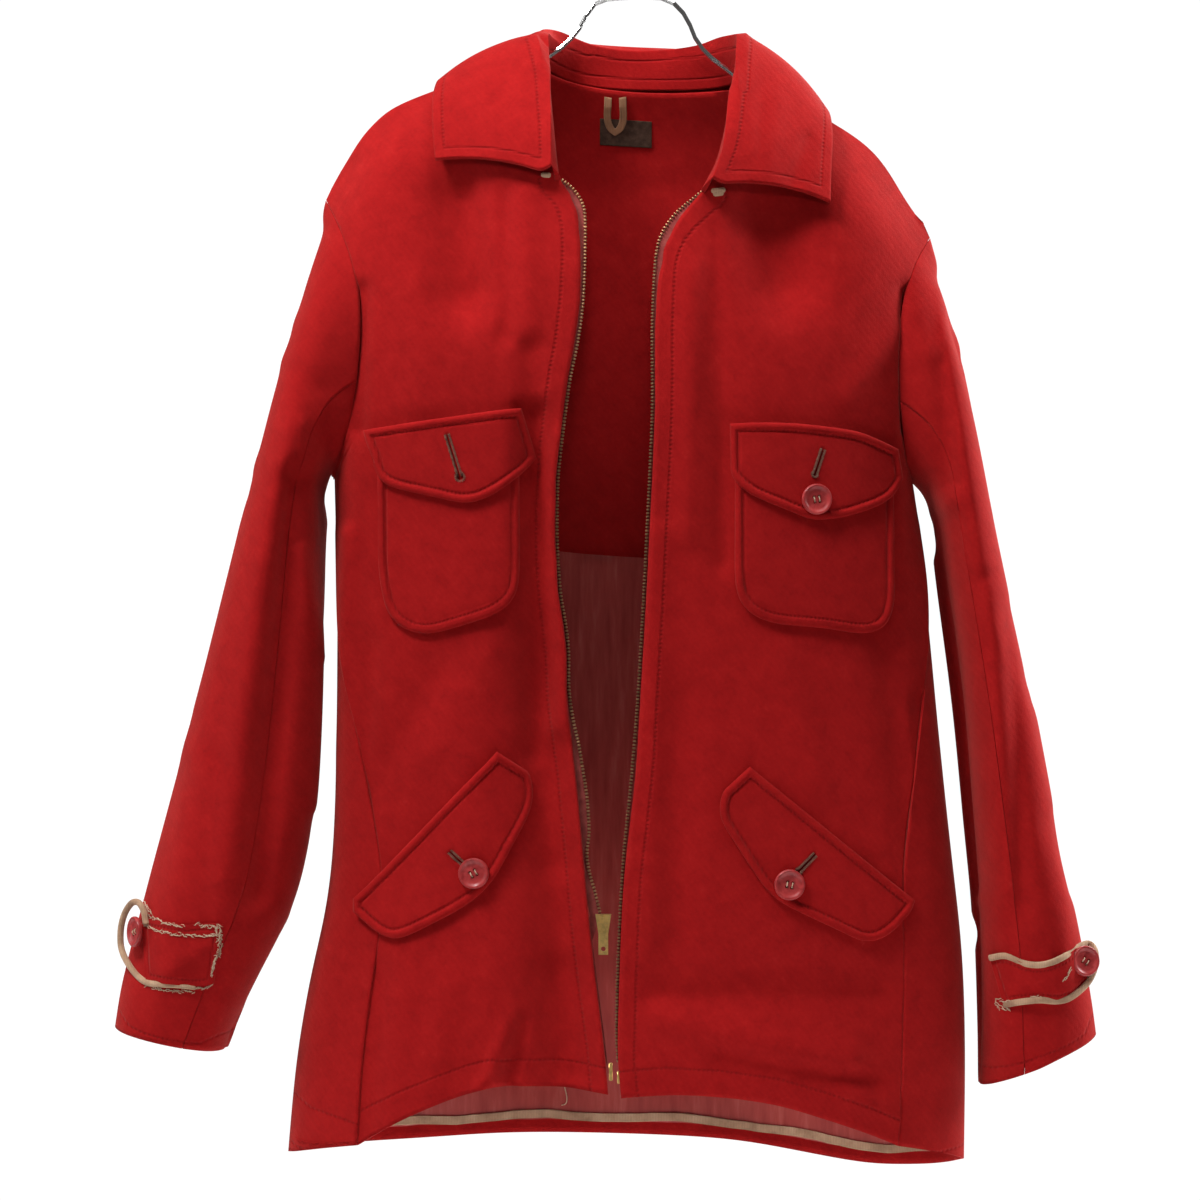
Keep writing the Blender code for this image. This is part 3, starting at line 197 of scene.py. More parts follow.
# twill ribs 2.1 mm apart, leaning to the right, broken up by the nap
turned = wool_group.nodes.new("ShaderNodeMapping")
turned.inputs["Rotation"].default_value = (0.0, math.radians(38.0), 0.0)
wool_group.links.new(place, turned.inputs["Vector"])
ribs = wool_group.nodes.new("ShaderNodeTexWave")
ribs.wave_type = "BANDS"
ribs.bands_direction = "X"
ribs.inputs["Scale"].default_value = 76.0
ribs.inputs["Distortion"].default_value = 1.2
ribs.inputs["Detail"].default_value = 2.0
ribs.inputs["Detail Scale"].default_value = 2.5
wool_group.links.new(turned.outputs["Vector"], ribs.inputs["Vector"])
nap = noise(wool_group, place, 420.0, 4.0, 0.7)
felt = noise(wool_group, place, 1500.0, 2.0, 0.6)
mottle = noise(wool_group, place, 85.0, 5.0, 0.62, 0.4)
cloud = noise(wool_group, place, 7.0, 2.0, 0.5)
rib_part = link_math(wool_group, "MULTIPLY", ribs.outputs["Fac"], 0.11)
nap_part = link_math(wool_group, "MULTIPLY", nap, 0.62)
felt_part = link_math(wool_group, "MULTIPLY", felt, 0.40)
height = link_math(wool_group, "ADD", link_math(wool_group, "ADD", rib_part, nap_part), felt_part)
tone = link_math(wool_group, "ADD", link_math(wool_group, "MULTIPLY", mottle, 0.6),
                 link_math(wool_group, "MULTIPLY", nap, 0.4))
colour = ramp(wool_group, tone, [
    (0.30, (0.270, 0.0050, 0.0055)), (0.46, (0.330, 0.0062, 0.0068)),
    (0.60, (0.375, 0.0080, 0.0082)), (0.78, (0.440, 0.0180, 0.0170))])
colour = blend(wool_group, link_math(wool_group, "MULTIPLY", rib_part, 0.9), colour,
               (0.22, 0.0045, 0.005), "MIX")
shade = ramp(wool_group, cloud, [(0.35, (0.92, 0.92, 0.92)), (0.65, (1.0, 1.0, 1.0))])
colour = blend(wool_group, 1.0, colour, shade, "MULTIPLY")
# painted shade: the colour is darkened along the stitched grooves by the groove mask
colour = blend(wool_group, inside.outputs["GrooveShade"], colour, (0.17, 0.004, 0.0045))
wool_group.links.new(colour, outside.inputs["Color"])
wool_group.links.new(height, outside.inputs["Height"])


def surface(name, settings):
    """New material, its tree, its shader with the settings given, and its object coordinates."""
    material = bpy.data.materials.new(name)
    material.use_nodes = True
    tree = material.node_tree
    shader = tree.nodes["Principled BSDF"]
    for socket, value in settings.items():
        shader.inputs[socket].default_value = value
    return material, tree, shader, tree.nodes.new("ShaderNodeTexCoord").outputs["Object"]


GROOVE_HALF = 0.0016        # half the width of a stitched groove, in metres


def wool_material(name, grooves=(), shift=(0.0, 0.0, 0.0)):
    """Wool surface; grooves are rows of attribute, distance in mm, stitch pitch in mm, axis."""
    material, tree, shader, where = surface(name, {
        "Roughness": 0.92, "Specular IOR Level": 0.08, "Sheen Weight": 0.2, "Sheen Roughness": 0.45,
        "Sheen Tint": (1.0, 0.24, 0.20, 1.0)})
    moved = tree.nodes.new("ShaderNodeMapping")
    moved.inputs["Location"].default_value = shift
    tree.links.new(where, moved.inputs["Vector"])
    wool = tree.nodes.new("ShaderNodeGroup")
    wool.node_tree = wool_group
    tree.links.new(moved.outputs["Vector"], wool.inputs["Vector"])
    height, wear_and_shade = wool.outputs["Height"], None
    parts = tree.nodes.new("ShaderNodeSeparateXYZ")
    tree.links.new(where, parts.inputs["Vector"])
    for attribute, distance, pitch, axis in grooves:
        reading = tree.nodes.new("ShaderNodeAttribute")
        reading.attribute_name = attribute
        off = link_math(tree, "ABSOLUTE", link_math(
            tree, "SUBTRACT", reading.outputs["Fac"], distance * 0.001))
        line = link_math(tree, "SUBTRACT", 1.0, link_math(tree, "DIVIDE", off, GROOVE_HALF), clamp=True)
        beat = link_math(tree, "ADD", link_math(tree, "MULTIPLY", link_math(
            tree, "SINE", link_math(tree, "MULTIPLY", parts.outputs[axis], 6283.0 / pitch)), 0.3), 0.7)
        line = link_math(tree, "MULTIPLY", line, beat)
        height = link_math(tree, "SUBTRACT", height, link_math(tree, "MULTIPLY", line, 1.6))
        # the groove lines also make the painted-shade mask that darkens the wool's colour in the grooves
        wear_and_shade = line if wear_and_shade is None else link_math(tree, "MAXIMUM", wear_and_shade, line)
    if wear_and_shade is None:
        wool.inputs["GrooveShade"].default_value = 0.0
    else:
        tree.links.new(link_math(tree, "MULTIPLY", wear_and_shade, 0.5), wool.inputs["GrooveShade"])
    tree.links.new(wool.outputs["Color"], shader.inputs["Base Color"])
    bump_into(tree, shader, height, 0.75, 0.0007)
    return material


# Back.
# One panel of wool from side seam to side seam, cut all round the back of the neck. It hangs
# from the hanger in two long soft folds below the shoulder blades.


def fine_shell(name, node, material, levels=3, sharp=48.0):
    """Fine copy of a CAD piece: triangles joined to quads, edges kept, then subdivided."""
    bm = bmesh.new()
    bm.from_mesh(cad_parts[node].data)
    bmesh.ops.remove_doubles(bm, verts=bm.verts, dist=2e-5)
    bmesh.ops.recalc_face_normals(bm, faces=bm.faces)
    bmesh.ops.join_triangles(bm, faces=bm.faces, angle_face_threshold=math.radians(35.0),
                             angle_shape_threshold=math.radians(170.0))
    hard = bm.edges.layers.float.new("crease_edge")
    for edge in bm.edges:
        if len(edge.link_faces) == 2 and edge.calc_face_angle() > math.radians(sharp):
            edge[hard] = 1.0
    rough = bpy.data.meshes.new(name)
    bm.to_mesh(rough)
    bm.free()
    piece = bpy.data.objects.new(name, rough)
    scene.collection.objects.link(piece)
    subdivide = piece.modifiers.new("subdivide", "SUBSURF")
    subdivide.levels = subdivide.render_levels = levels
    bpy.context.view_layer.update()
    fine = bpy.data.meshes.new_from_object(piece.evaluated_get(bpy.context.evaluated_depsgraph_get()))
    piece.modifiers.clear()
    piece.data = fine
    bpy.data.meshes.remove(rough)
    fine.name = name
    fine.materials.clear()
    fine.materials.append(material)
    fine.shade_smooth()
    fine.set_sharp_from_angle(angle=math.radians(sharp))
    return piece


def points_of(piece):
    flat = np.empty(len(piece.data.vertices) * 3)
    piece.data.vertices.foreach_get("co", flat)
    return flat.reshape(-1, 3)


def put_points(piece, points):
    piece.data.vertices.foreach_set("co", points.ravel())
    piece.data.update()


def normals_of(piece):
    flat = np.empty(len(piece.data.vertices) * 3)
    piece.data.vertex_normals.foreach_get("vector", flat)
    return flat.reshape(-1, 3)


def tree_of(piece):
    return BVHTree.FromPolygons(points_of(piece).tolist(), [list(p.vertices) for p in piece.data.polygons])


def line_distance(points, line, columns=(0, 2)):
    """Distance of each point, seen along the left out axis, from a line of points in mm."""
    flat = points[:, columns]
    line = np.array(line, dtype=float)[:, :2] * 0.001
    best = np.full(len(flat), 9.0)
    for start, end in zip(line, line[1:]):
        way = end - start
        share = np.clip(((flat - start) @ way) / max(way @ way, 1e-12), 0.0, 1.0)
        best = np.minimum(best, np.linalg.norm(flat - start - share[:, None] * way, axis=1))
    return best


def keep_value(piece, name, values):
    layer = piece.data.attributes.new(name, "FLOAT", "POINT")
    layer.data.foreach_set("value", np.asarray(values, dtype=np.float32))


def piece_from(name, bm, material):
    """Piece with a finished bmesh's shape, faces outwards, shaded smooth."""
    bmesh.ops.recalc_face_normals(bm, faces=bm.faces)
    mesh = bpy.data.meshes.new(name)
    bm.to_mesh(mesh)
    bm.free()
    mesh.materials.append(material)
    mesh.shade_smooth()
    mesh.set_sharp_from_angle(angle=math.radians(45.0))
    piece = bpy.data.objects.new(name, mesh)
    scene.collection.objects.link(piece)
    return piece


def sweep(bm, rings):
    """Closed length of tape or cord: the first ring of points is extruded from ring to ring."""
    ring = [bm.verts.new(spot) for spot in rings[0]]
    cap = bm.faces.new(ring)
    for spots in rings[1:]:
        order = {tuple(vert.co): k for k, vert in enumerate(ring)}
        made = bmesh.ops.extrude_face_region(bm, geom=[cap])["geom"]
        if spots is not rings[1]:       # the very first cap stays and closes the start
            bm.faces.remove(cap)
        cap = next(part for part in made if isinstance(part, bmesh.types.BMFace))
        ring = [part for part in made if isinstance(part, bmesh.types.BMVert)]
        ring.sort(key=lambda vert: order[tuple(vert.co)])
        for vert, spot in zip(ring, spots):
            vert.co = spot


TUBE_END = 0.55         # share of its radius that a tube keeps at its two ends


def tubes(name, paths, radius, material, sides=6, flat=1.0, out=(0.0, -1.0, 0.0)):
    """Round or flattened tubes along lists of points in metres, closed and thinner at their ends."""
    turns = [2 * math.pi * m / sides for m in range(sides)]
    bm = bmesh.new()
    for path in paths:
        path = np.array(path, dtype=float)
        if len(path) < 2:
            continue
        ways = np.gradient(path, axis=0)
        ways /= np.maximum(np.linalg.norm(ways, axis=1), 1e-12)[:, None]
        rings = []
        for k, (point, way) in enumerate(zip(path, ways)):
            up = np.array(out) - way * np.dot(out, way)
            up /= max(np.linalg.norm(up), 1e-9)
            across = np.cross(way, up)
            thin = radius * (TUBE_END if k in (0, len(path) - 1) else 1.0)
            rings.append([point + across * (thin * math.cos(turn)) + up * (thin * flat * math.sin(turn))
                          for turn in turns])
        sweep(bm, rings)
    return piece_from(name, bm, material)


def trim_piece(piece, node, *replaced):
    """A piece of trim that rides on the jacket; the CAD nodes it replaces are hidden."""
    if replaced:
        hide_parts(*replaced)
    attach(piece, BODY)


def press(piece, rows, side=-1, middle=(-0.013, -0.005), half=(0.25, 0.085)):
    """Soft ridges (plus) and troughs (minus) pushed out of an upright tube of cloth.

    Rows are x0, z0, x1, z1, half width, height in mm, on the side that faces -Y or +Y. Rows that
    meet are joined by a 4-norm, so their heights don't add up."""
    points = points_of(piece)
    out = np.stack([(points[:, 0] - middle[0]) / half[0] ** 2,
                    (points[:, 1] - middle[1]) / half[1] ** 2, np.zeros(len(points))], axis=1)
    out /= np.maximum(np.linalg.norm(out, axis=1), 1e-9)[:, None]
    facing = np.clip(out[:, 1] * side * 2.2 + 0.05, 0.0, 1.0)
    ridges, troughs = np.zeros(len(points)), np.zeros(len(points))
    for x0, z0, x1, z1, wide, tall in rows:
        away = line_distance(points, [(x0, z0), (x1, z1)]) * 1000.0
        part = (abs(tall) * np.exp(-(away / wide) ** 2)) ** 4
        if tall > 0.0:
            ridges += part
        else:
            troughs += part
    push = ridges ** 0.25 - troughs ** 0.25
    put_points(piece, points + out * (push * facing * 0.001)[:, None])


def dress(piece, node):
    """Let a cloth piece stand for its CAD node."""
    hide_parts(node)
    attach(piece, BODY)


back_wool = wool_material("back_wool", [("hem_m", 16.0, 3.4, 0)], (0.31, 0.0, 0.0))
BACK_CREASES = [
    (-120, -360, -150, -700, 16, -2.5), (-30, -420, -40, -860, 15, -2.4),
    (40, -500, 20, -900, 14, 2.2), (120, -340, 150, -760, 17, 2.6),
    (-200, -460, -120, -380, 12, -2.2), (188, -470, 110, -400, 12, -2),
    (-150, -880, -40, -905, 12, 1.8), (30, -890, 160, -870, 13, 1.6),
    (-60, -210, 60, -214, 14, 1.6),
]
back = fine_shell("back_wool", "back", back_wool)
press(back, BACK_CREASES, side=1)
keep_value(back, "hem_m", line_distance(points_of(back), [
    (-268, -905), (-250, -916), (-208, -926), (-150, -930), (0, -928), (60, -930), (150, -940),
    (200, -950), (240, -948)]))
dress(back, "back")

# Fronts.
# Two mirrored panels of the same wool, each faced inside its zip edge. Both are pulled by the
# weight of the lower pockets: long troughs beside the zip, a roll along each free edge, drag
# lines under the collar and from the lower flaps towards the hem.
RIGHT_FRONT_CREASES = [
    (-138, -236, -130, -300, 25, -16), (-102, -230, -100, -335, 8, -4.5),
    (-84, -230, -80, -330, 9, 2.5), (-165, -300, -158, -380, 16, 2.5),
    (-80, -345, -79, -392, 9, -4), (-79, -392, -77, -640, 12, -12),
    (-62, -410, -57, -620, 7, 3.6), (-72, -640, -64, -720, 19, -12),
    (-64, -720, -58, -800, 19, -10), (-58, -800, -54, -870, 21, -13),
    (-128, -600, -124, -700, 18, 3), (-150, -580, -205, -680, 14, -3),
    (-110, -565, -150, -640, 12, 2.2), (-95, -832, -108, -868, 6, 4.5),
    (-108, -868, -124, -892, 6, 4.5), (-84, -830, -96, -878, 7, -4.5),
    (-205, -300, -208, -400, 8, -4), (-216, -480, -222, -640, 8, 4.5),
    (-198, -560, -206, -720, 9, -2.5), (-140, -810, -160, -905, 13, 3.5),
    (-190, -800, -200, -915, 11, -3), (-215, -740, -226, -920, 9, 3.5),
]
LEFT_FRONT_CREASES = [
    (94, -242, 106, -292, 29, -15), (54, -240, 58, -390, 10, -3),
    (60, -395, 60, -500, 9, -4), (36, -290, 33, -480, 9, 3),
    (12, -480, 5, -780, 8, 2.6), (30, -600, 24, -800, 12, -3),
    (196, -300, 199, -400, 7, -4), (205, -430, 226, -650, 7, 4.5),
    (228, -650, 238, -890, 7, 4), (205, -600, 220, -880, 9, -3),
    (10, -812, 170, -815, 12, -4), (13, -831, 151, -860, 11, 4.5),
    (57, -860, 172, -878, 9, -4), (100, -570, 130, -660, 13, 2.5),
    (180, -570, 200, -720, 12, -3), (150, -380, 188, -330, 10, 2),
    (150, -885, 200, -908, 9, 2.5),
]
RIGHT_EDGE = [(-24, -886), (-27, -853), (-33, -810), (-39, -759), (-43, -712), (-49, -650),
              (-57, -600), (-62, -546), (-65.5, -498), (-65, -455), (-62, -411), (-57, -375),
              (-51, -338), (-47.4, -302), (-46, -277), (-47.4, -257), (-53, -239), (-64, -222)]
LEFT_EDGE = [(-14.7, -888), (-17.7, -861), (-16.2, -810), (-14.8, -766), (-12.6, -726),
             (-7.5, -684), (-3.2, -643), (-1, -602), (3.4, -529), (6.3, -469), (9.2, -411),
             (10.6, -367), (10.8, -317), (13, -282), (22, -262), (36, -247), (52, -231)]
RIGHT_HEM = [(-24, -886), (-67, -881), (-107, -879), (-121, -883), (-145, -892), (-168, -902),
             (-192, -915), (-212, -927)]
LEFT_HEM = [(-15, -888), (18, -885), (55, -887), (96, -893), (129, -903), (160, -914), (190, -928)]
# x, z of the zip's teeth in mm, from the collar down
TEETH = {
    "right": [(-57.6, -221.1), (-49.6, -227.7), (-43.1, -237.8), (-40.9, -248.7), (-40.9, -273.4),
              (-42.3, -309.6), (-46.0, -338.7), (-51.8, -367.7), (-56.8, -404.0), (-60.6, -440.2),
              (-61.2, -483.8), (-59.0, -520.0), (-55.6, -541.8), (-53.0, -563.6), (-52.6, -592.6),
              (-49.5, -614.4), (-45.6, -632.5), (-42.6, -650.6), (-39.4, -672.0), (-38.0, -695.6),
              (-39.4, -712.3), (-37.6, -726.0), (-33.6, -740.0), (-29.6, -756.5)],
    "left": [(46.0, -228.0), (36.0, -236.0), (25.0, -246.0), (16.6, -258.0), (12.0, -270.0),
             (9.6, -290.0), (8.0, -330.0), (8.2, -382.0), (7.0, -418.0), (4.0, -480.0),
             (1.2, -535.0), (-3.0, -605.0), (-8.0, -665.0), (-13.0, -715.0), (-16.6, -780.0),
             (-18.0, -835.0), (-17.0, -862.0)],
}


def nearest_on(line, spot):
    """Nearest point to a spot on a line of points."""
    best, found = 1e9, None
    for a, b in zip(line, line[1:]):
        a, b = np.array(a), np.array(b)
        share = min(max(np.dot(spot - a, b - a) / max(np.dot(b - a, b - a), 1e-9), 0.0), 1.0)
        place = a + share * (b - a)
        away = np.linalg.norm(spot - place)
        if away < best:
            best, found = away, place
    return found, best


def draw_out(points, edge, teeth, reach=26.0, gap=1.9):
    """Ease the cloth beside an edge sideways until the edge meets the teeth above z -640 mm."""
    for point in points:
        spot = np.array((point[0] * 1000.0, point[2] * 1000.0))
        if spot[1] < -650.0 or abs(spot[0]) > 100.0:
            continue
        place, away = nearest_on(edge, spot)
        if away > reach:
            continue
        goal, off = nearest_on(teeth, place)
        if off > gap:
            share = (1.0 - away / reach) * min(max((spot[1] + 640.0) / 60.0, 0.0), 1.0)
            move = (goal - place) * (1.0 - gap / off) * share
            point[0] += move[0] * 0.001
            point[2] += move[1] * 0.001


fronts = {}
for side, edge, hem, creases, flat in [
    ("right", RIGHT_EDGE, RIGHT_HEM, RIGHT_FRONT_CREASES, (0.30, 0.83)),
    ("left", LEFT_EDGE, LEFT_HEM, LEFT_FRONT_CREASES, (0.30, 0.83)),
]:
    cloth = wool_material("front_wool_" + side, [("edge_m", 12.5, 3.2, 2), ("hem_m", 19.0, 3.4, 0)],
                          (0.0, 0.4 if side == "left" else 0.9, 0.0))
    piece = fine_shell("front_" + side + "_wool", "front_" + side, cloth)
    press(piece, creases)
    points = points_of(piece)
    keep_value(piece, "edge_m", line_distance(points, edge))
    keep_value(piece, "hem_m", line_distance(points, hem))
    draw_out(points, edge, TEETH[side])
    put_points(piece, points)
    dress(piece, "front_" + side)
    fronts[side] = piece

# Sleeves.
# Two-piece sleeves, a wide top piece and a narrow under piece, seamed at the forearm and the
# elbow. They hang straight with long drag lines and small crushes above the cuff.
SLEEVES = {
    "right": [(-255, -400, -274, -500, 11, 4), (-274, -500, -304, -730, 11, 4.5),
              (-304, -730, -310, -842, 10, 3.5), (-252, -440, -280, -740, 12, -11),
              (-250, -400, -252, -480, 6, 3), (-250, -490, -238, -570, 6, 4),
              (-238, -570, -242, -680, 7, 3.5), (-286, -430, -318, -620, 13, -2),
              (-340, -660, -368, -800, 12, -3), (-300, -770, -345, -800, 8, 2.5),
              (-330, -620, -290, -660, 9, -2), (-232, -330, -256, -300, 9, 1.6),
              (-236, -372, -262, -350, 9, -2), (-240, -420, -262, -410, 8, 1.6)],
    "left": [(228, -470, 250, -740, 9, -5), (256, -520, 266, -740, 9, 3.5),
             (270, -535, 279, -752, 8, -3.5), (290, -600, 312, -800, 11, 3),
             (232, -330, 250, -500, 10, 3), (214, -300, 226, -440, 8, -4),
             (252, -760, 262, -880, 8, -3), (270, -780, 310, -800, 8, 2.5),
             (250, -560, 290, -600, 9, -2), (214, -345, 240, -310, 8, 2.5),
             (262, -862, 300, -874, 7, 2), (300, -690, 322, -740, 9, -2.5)],
}
CUFF_LINES = {
    "right": [(-394, -843), (-384, -853), (-368, -859), (-348, -864), (-322, -868), (-306.5, -862)],
    "left": [(342.8, -848), (338, -858), (318, -868), (290, -879), (262, -888), (249.5, -889)],
}
sleeve_parts = {"right": [], "left": []}
for side, creases in SLEEVES.items():
    middle = ((-0.29, -0.012), (0.262, -0.012))[side == "left"]
    for part, flat, area in [("sleeve_top_", (0.24, 0.66), 0.098), ("sleeve_under_", (0.20, 0.62), 0.085)]:
        cloth = wool_material(part + side + "_wool", [("cuff_m", 15.0, 3.4, 0)],
                              (0.2, 0.1 if part == "sleeve_top_" else 0.5, 0.3 if side == "left" else 0.7))
        piece = fine_shell(part + side + "_wool", part + side, cloth)
        sleeve_parts[side].append(piece)
        press(piece, creases, middle=middle, half=(0.08, 0.055))
        press(piece, [(x0, z0 - 30, x1, z1 - 20, w, -h) for x0, z0, x1, z1, w, h in creases],
              side=1, middle=middle, half=(0.08, 0.055))
        keep_value(piece, "cuff_m", line_distance(points_of(piece), CUFF_LINES[side]))
        dress(piece, part + side)


def rim_of(piece, angle=50.0):
    """Points of a shell's own rim, where its faces turn sharply."""
    bm = bmesh.new()
    bm.from_mesh(piece.data)
    rim = sorted({v.index for e in bm.edges if len(e.link_faces) == 2
                  and e.calc_face_angle() > math.radians(angle) for v in e.verts})
    bm.free()
    return rim


def seam_paths(first, second, middle_y, step=0.006, reach=0.004):
    """Lines up a sleeve along which the rims of its two pieces meet, in front and behind."""
    tree = tree_of(second)
    points = points_of(first)[rim_of(first)]
    near = np.array([tree.find_nearest(Vector(p))[3] or 9.0 for p in points])
    points = points[near < reach]
    paths = []
    for front in (True, False):
        some = points[(points[:, 1] < middle_y) == front]
        rows = [some[np.abs(some[:, 2] - z) < step * 0.6].mean(axis=0)
                for z in np.arange(some[:, 2].max(), some[:, 2].min(), -step)
                if (np.abs(some[:, 2] - z) < step * 0.6).any()]
        paths.append(np.array(rows))
    return paths


seam_wool = wool_material("sleeve_seam_wool")
for side, (top_piece, under_piece) in sleeve_parts.items():
    lines = seam_paths(top_piece, under_piece, -0.012)
    for path, inward in zip(lines, (0.0016, -0.0016)):
        path[:, 1] += inward
    seam = tubes("sleeve_seam_" + side, lines, 0.0017, seam_wool, 8)
    trim_piece(seam, "sleeve_under_" + side)

# Collar.
# Two layers of wool turned inside out round a soft interlining: a stand sewn into the neck and
# a wide fall, stitched along its edge. Its front points have been pressed open unevenly.
collar = fine_shell("collar_wool", "collar", wool_material(
    "collar_wool", [("rim_m", 8.0, 3.0, 2)], (0.6, 0.2, 0.1)))


def rim_distance(piece, rim):
    points = points_of(piece)
    tree = KDTree(len(rim))
    for k in rim:
        tree.insert(points[k], k)
    tree.balance()
    return np.array([tree.find(p)[2] for p in points])


keep_value(collar, "rim_m", rim_distance(collar, rim_of(collar)))
press(collar, [(-120.0, -150.0, -96.0, -200.0, 9.0, 1.6), (-140.0, -165.0, -128.0, -200.0, 7.0, -1.2),
               (100.0, -160.0, 92.0, -215.0, 9.0, 1.6), (124.0, -190.0, 112.0, -222.0, 7.0, -2.2),
               (-90.0, -120.0, -84.0, -190.0, 8.0, 1.2), (78.0, -120.0, 80.0, -200.0, 8.0, 1.2)],
      half=(0.16, 0.09))
dress(collar, "collar")

# Chest pockets and flaps.
# Bags of one layer with rounded lower corners, edge turned under and stitched, so that it stands
# as a roll. Each flap is two layers, turned, with a stitched edge, and has a keyhole buttonhole.


def turned_edge(piece, roll, tall, groove):
    """Swell a patch's outer skin into a roll along its rim, with a stitched groove inside it."""
    distance = rim_distance(piece, rim_of(piece)) * 1000.0
    normals = normals_of(piece)
    outer = np.clip(normals[:, 1] * -2.0, 0.0, 1.0)
    swell = tall * np.sin(np.clip(distance / roll, 0.0, 1.0) * math.pi) ** 0.8
    swell -= groove * np.exp(-((distance - roll) / 1.1) ** 2)
    put_points(piece, points_of(piece) + normals * (outer * swell * 0.001)[:, None])
    keep_value(piece, "rim_m", distance * 0.001)


def cut_hole(piece, start, end, eye, wide=1.1, deep=2.6):
    """Keyhole buttonhole pressed into a flap's outer skin: a slit with a round eye."""
    points = points_of(piece)
    outer = np.clip(normals_of(piece)[:, 1] * -2.0, 0.0, 1.0)
    slit = line_distance(points, [start, end]) * 1000.0
    round_eye = line_distance(points, [end, end]) * 1000.0
    inside = np.maximum(np.clip(1.0 - (slit - wide * 0.5) / 0.9, 0, 1),
                        np.clip(1.0 - (round_eye - eye) / 0.9, 0, 1))
    lip = np.exp(-((np.minimum(slit - wide * 0.5, round_eye - eye) - 1.6) / 0.8) ** 2)
    points[:, 1] += outer * (inside * deep - lip * 0.45) * 0.001
    put_points(piece, points)


PATCHES = [
    # node, level, roll width, roll height, groove depth, flat, area, shift
    ("chest_pocket_right", 3, 6.4, 1.5, 0.7, (0.125, 0.175), 0.0175, (0.1, 0.7, 0.2)),
    ("chest_pocket_left", 3, 6.4, 1.5, 0.7, (0.14, 0.17), 0.0195, (0.5, 0.3, 0.6)),
    ("chest_flap_right", 3, 6.0, 1.3, 0.7, (0.14, 0.075), 0.0085, (0.8, 0.8, 0.1)),
    ("chest_flap_left", 3, 6.0, 1.3, 0.7, (0.14, 0.075), 0.0085, (0.3, 0.1, 0.4)),
    ("lower_flap_right", 3, 6.0, 1.4, 0.7, (0.18, 0.075), 0.0105, (0.7, 0.6, 0.9)),
    ("lower_flap_left", 3, 6.0, 1.4, 0.7, (0.18, 0.075), 0.0105, (0.4, 0.9, 0.5)),
]
patches = {}
for node, fineness, roll, tall, groove, flat, area, shift in PATCHES:
    side = "right" if node.endswith("right") else "left"
    piece = fine_shell(node + "_wool", node, wool_material(node + "_wool", [("rim_m", roll, 3.0, 0)], shift),
                       fineness)
    press(piece, RIGHT_FRONT_CREASES if side == "right" else LEFT_FRONT_CREASES)
    turned_edge(piece, roll, tall, groove)
    dress(piece, node)
    patches[node] = piece
HOLES = {
    "chest_flap_right": ((-141.0, -407.5), (-131.5, -438.0)),
    "chest_flap_left": ((132.0, -418.0), (126.0, -436.0)),
    "lower_flap_right": ((-139.0, -710.0), (-128.0, -720.0)),
    "lower_flap_left": ((126.0, -712.0), (114.0, -724.0)),
}
for node, (start, end) in HOLES.items():
    cut_hole(patches[node], start, end, 2.6 if node == "chest_flap_right" else 1.2)

# Cuff tabs.
# A strap round the front of each cuff, edged with tan tape. The right one has come undone and
# frays at its sewn end; the left one is buttoned close to the outer edge.
tan, tree, shader, where = surface("tan_tape", {
    "Roughness": 0.85, "Specular IOR Level": 0.2, "Sheen Weight": 0.15})
threads = tree.nodes.new("ShaderNodeTexWave")
threads.inputs["Scale"].default_value = 260.0
threads.inputs["Distortion"].default_value = 1.5
tree.links.new(where, threads.inputs["Vector"])
stain = noise(tree, where, 60.0, 4.0, 0.6)
tree.links.new(blend(tree, link_math(tree, "MULTIPLY", threads.outputs["Fac"], 0.35), ramp(
    tree, stain, [(0.3, (0.30, 0.17, 0.10)), (0.55, (0.50, 0.31, 0.19)), (0.8, (0.62, 0.42, 0.28))]),
    (0.27, 0.16, 0.10)), shader.inputs["Base Color"])
bump_into(tree, shader, threads.outputs["Fac"], 0.5, 0.0004)


def skin_at(tree, x, z, start=-0.4):
    """Point and normal of the cloth that the front shows at x, z in mm."""
    hit = tree.ray_cast(Vector((x * 0.001, start, z * 0.001)), Vector((0.0, 1.0, 0.0)))
    return (hit[0], hit[1]) if hit[0] is not None else (None, None)


def even(points, step):
    """Points step apart along a line of points, smoothed by a Catmull-Rom spline."""
    points = [Vector(p) for p in points]
    full = [points[0] * 2 - points[1]] + points + [points[-1] * 2 - points[-2]]
    fine = []
    for a, b, c, d in zip(full, full[1:], full[2:], full[3:]):
        for k in range(12):
            t = k / 12.0
            fine.append(0.5 * ((2 * b) + (c - a) * t + (2 * a - 5 * b + 4 * c - d) * t * t
                               + (3 * b - a - 3 * c + d) * t ** 3))
    fine.append(points[-1])
    marks = np.concatenate([[0.0], np.cumsum([(q - p).length for p, q in zip(fine, fine[1:])])])
    table = np.array([tuple(p) for p in fine])
    places = np.arange(0.0, marks[-1], step)
    return np.stack([np.interp(places, marks, table[:, k]) for k in range(table.shape[1])], axis=1)


def from_view(x, y, near=-85.0):
    """x, z in mm of a spot of the 1200 pixel view on a surface near mm from the middle plane."""
    scale = 0.75 * (2600.0 + near) / 2600.0
    return -30.0 + (x - 600.0) * scale, -527.3 - (y - 600.0) * scale


def on_cloth(trees, x, y, limits, lift=0.0):
    """Point in mm over view spot x, y on the first cloth there, the spot kept inside limits."""
    near = -60.0
    for _ in range(2):
        side_x, z = from_view(min(max(x, limits[0]), limits[1]), y, near)
        walls = [skin_at(tree, side_x, z)[0] for tree in trees]
        walls = [w.y * 1000.0 for w in walls if w is not None]
        near = min(walls) if walls else near
    place_x, z = from_view(x, y, near)
    past = max(limits[0] - x, x - limits[1], 0.0)
    return Vector((place_x, near + 0.35 * past - lift, z))


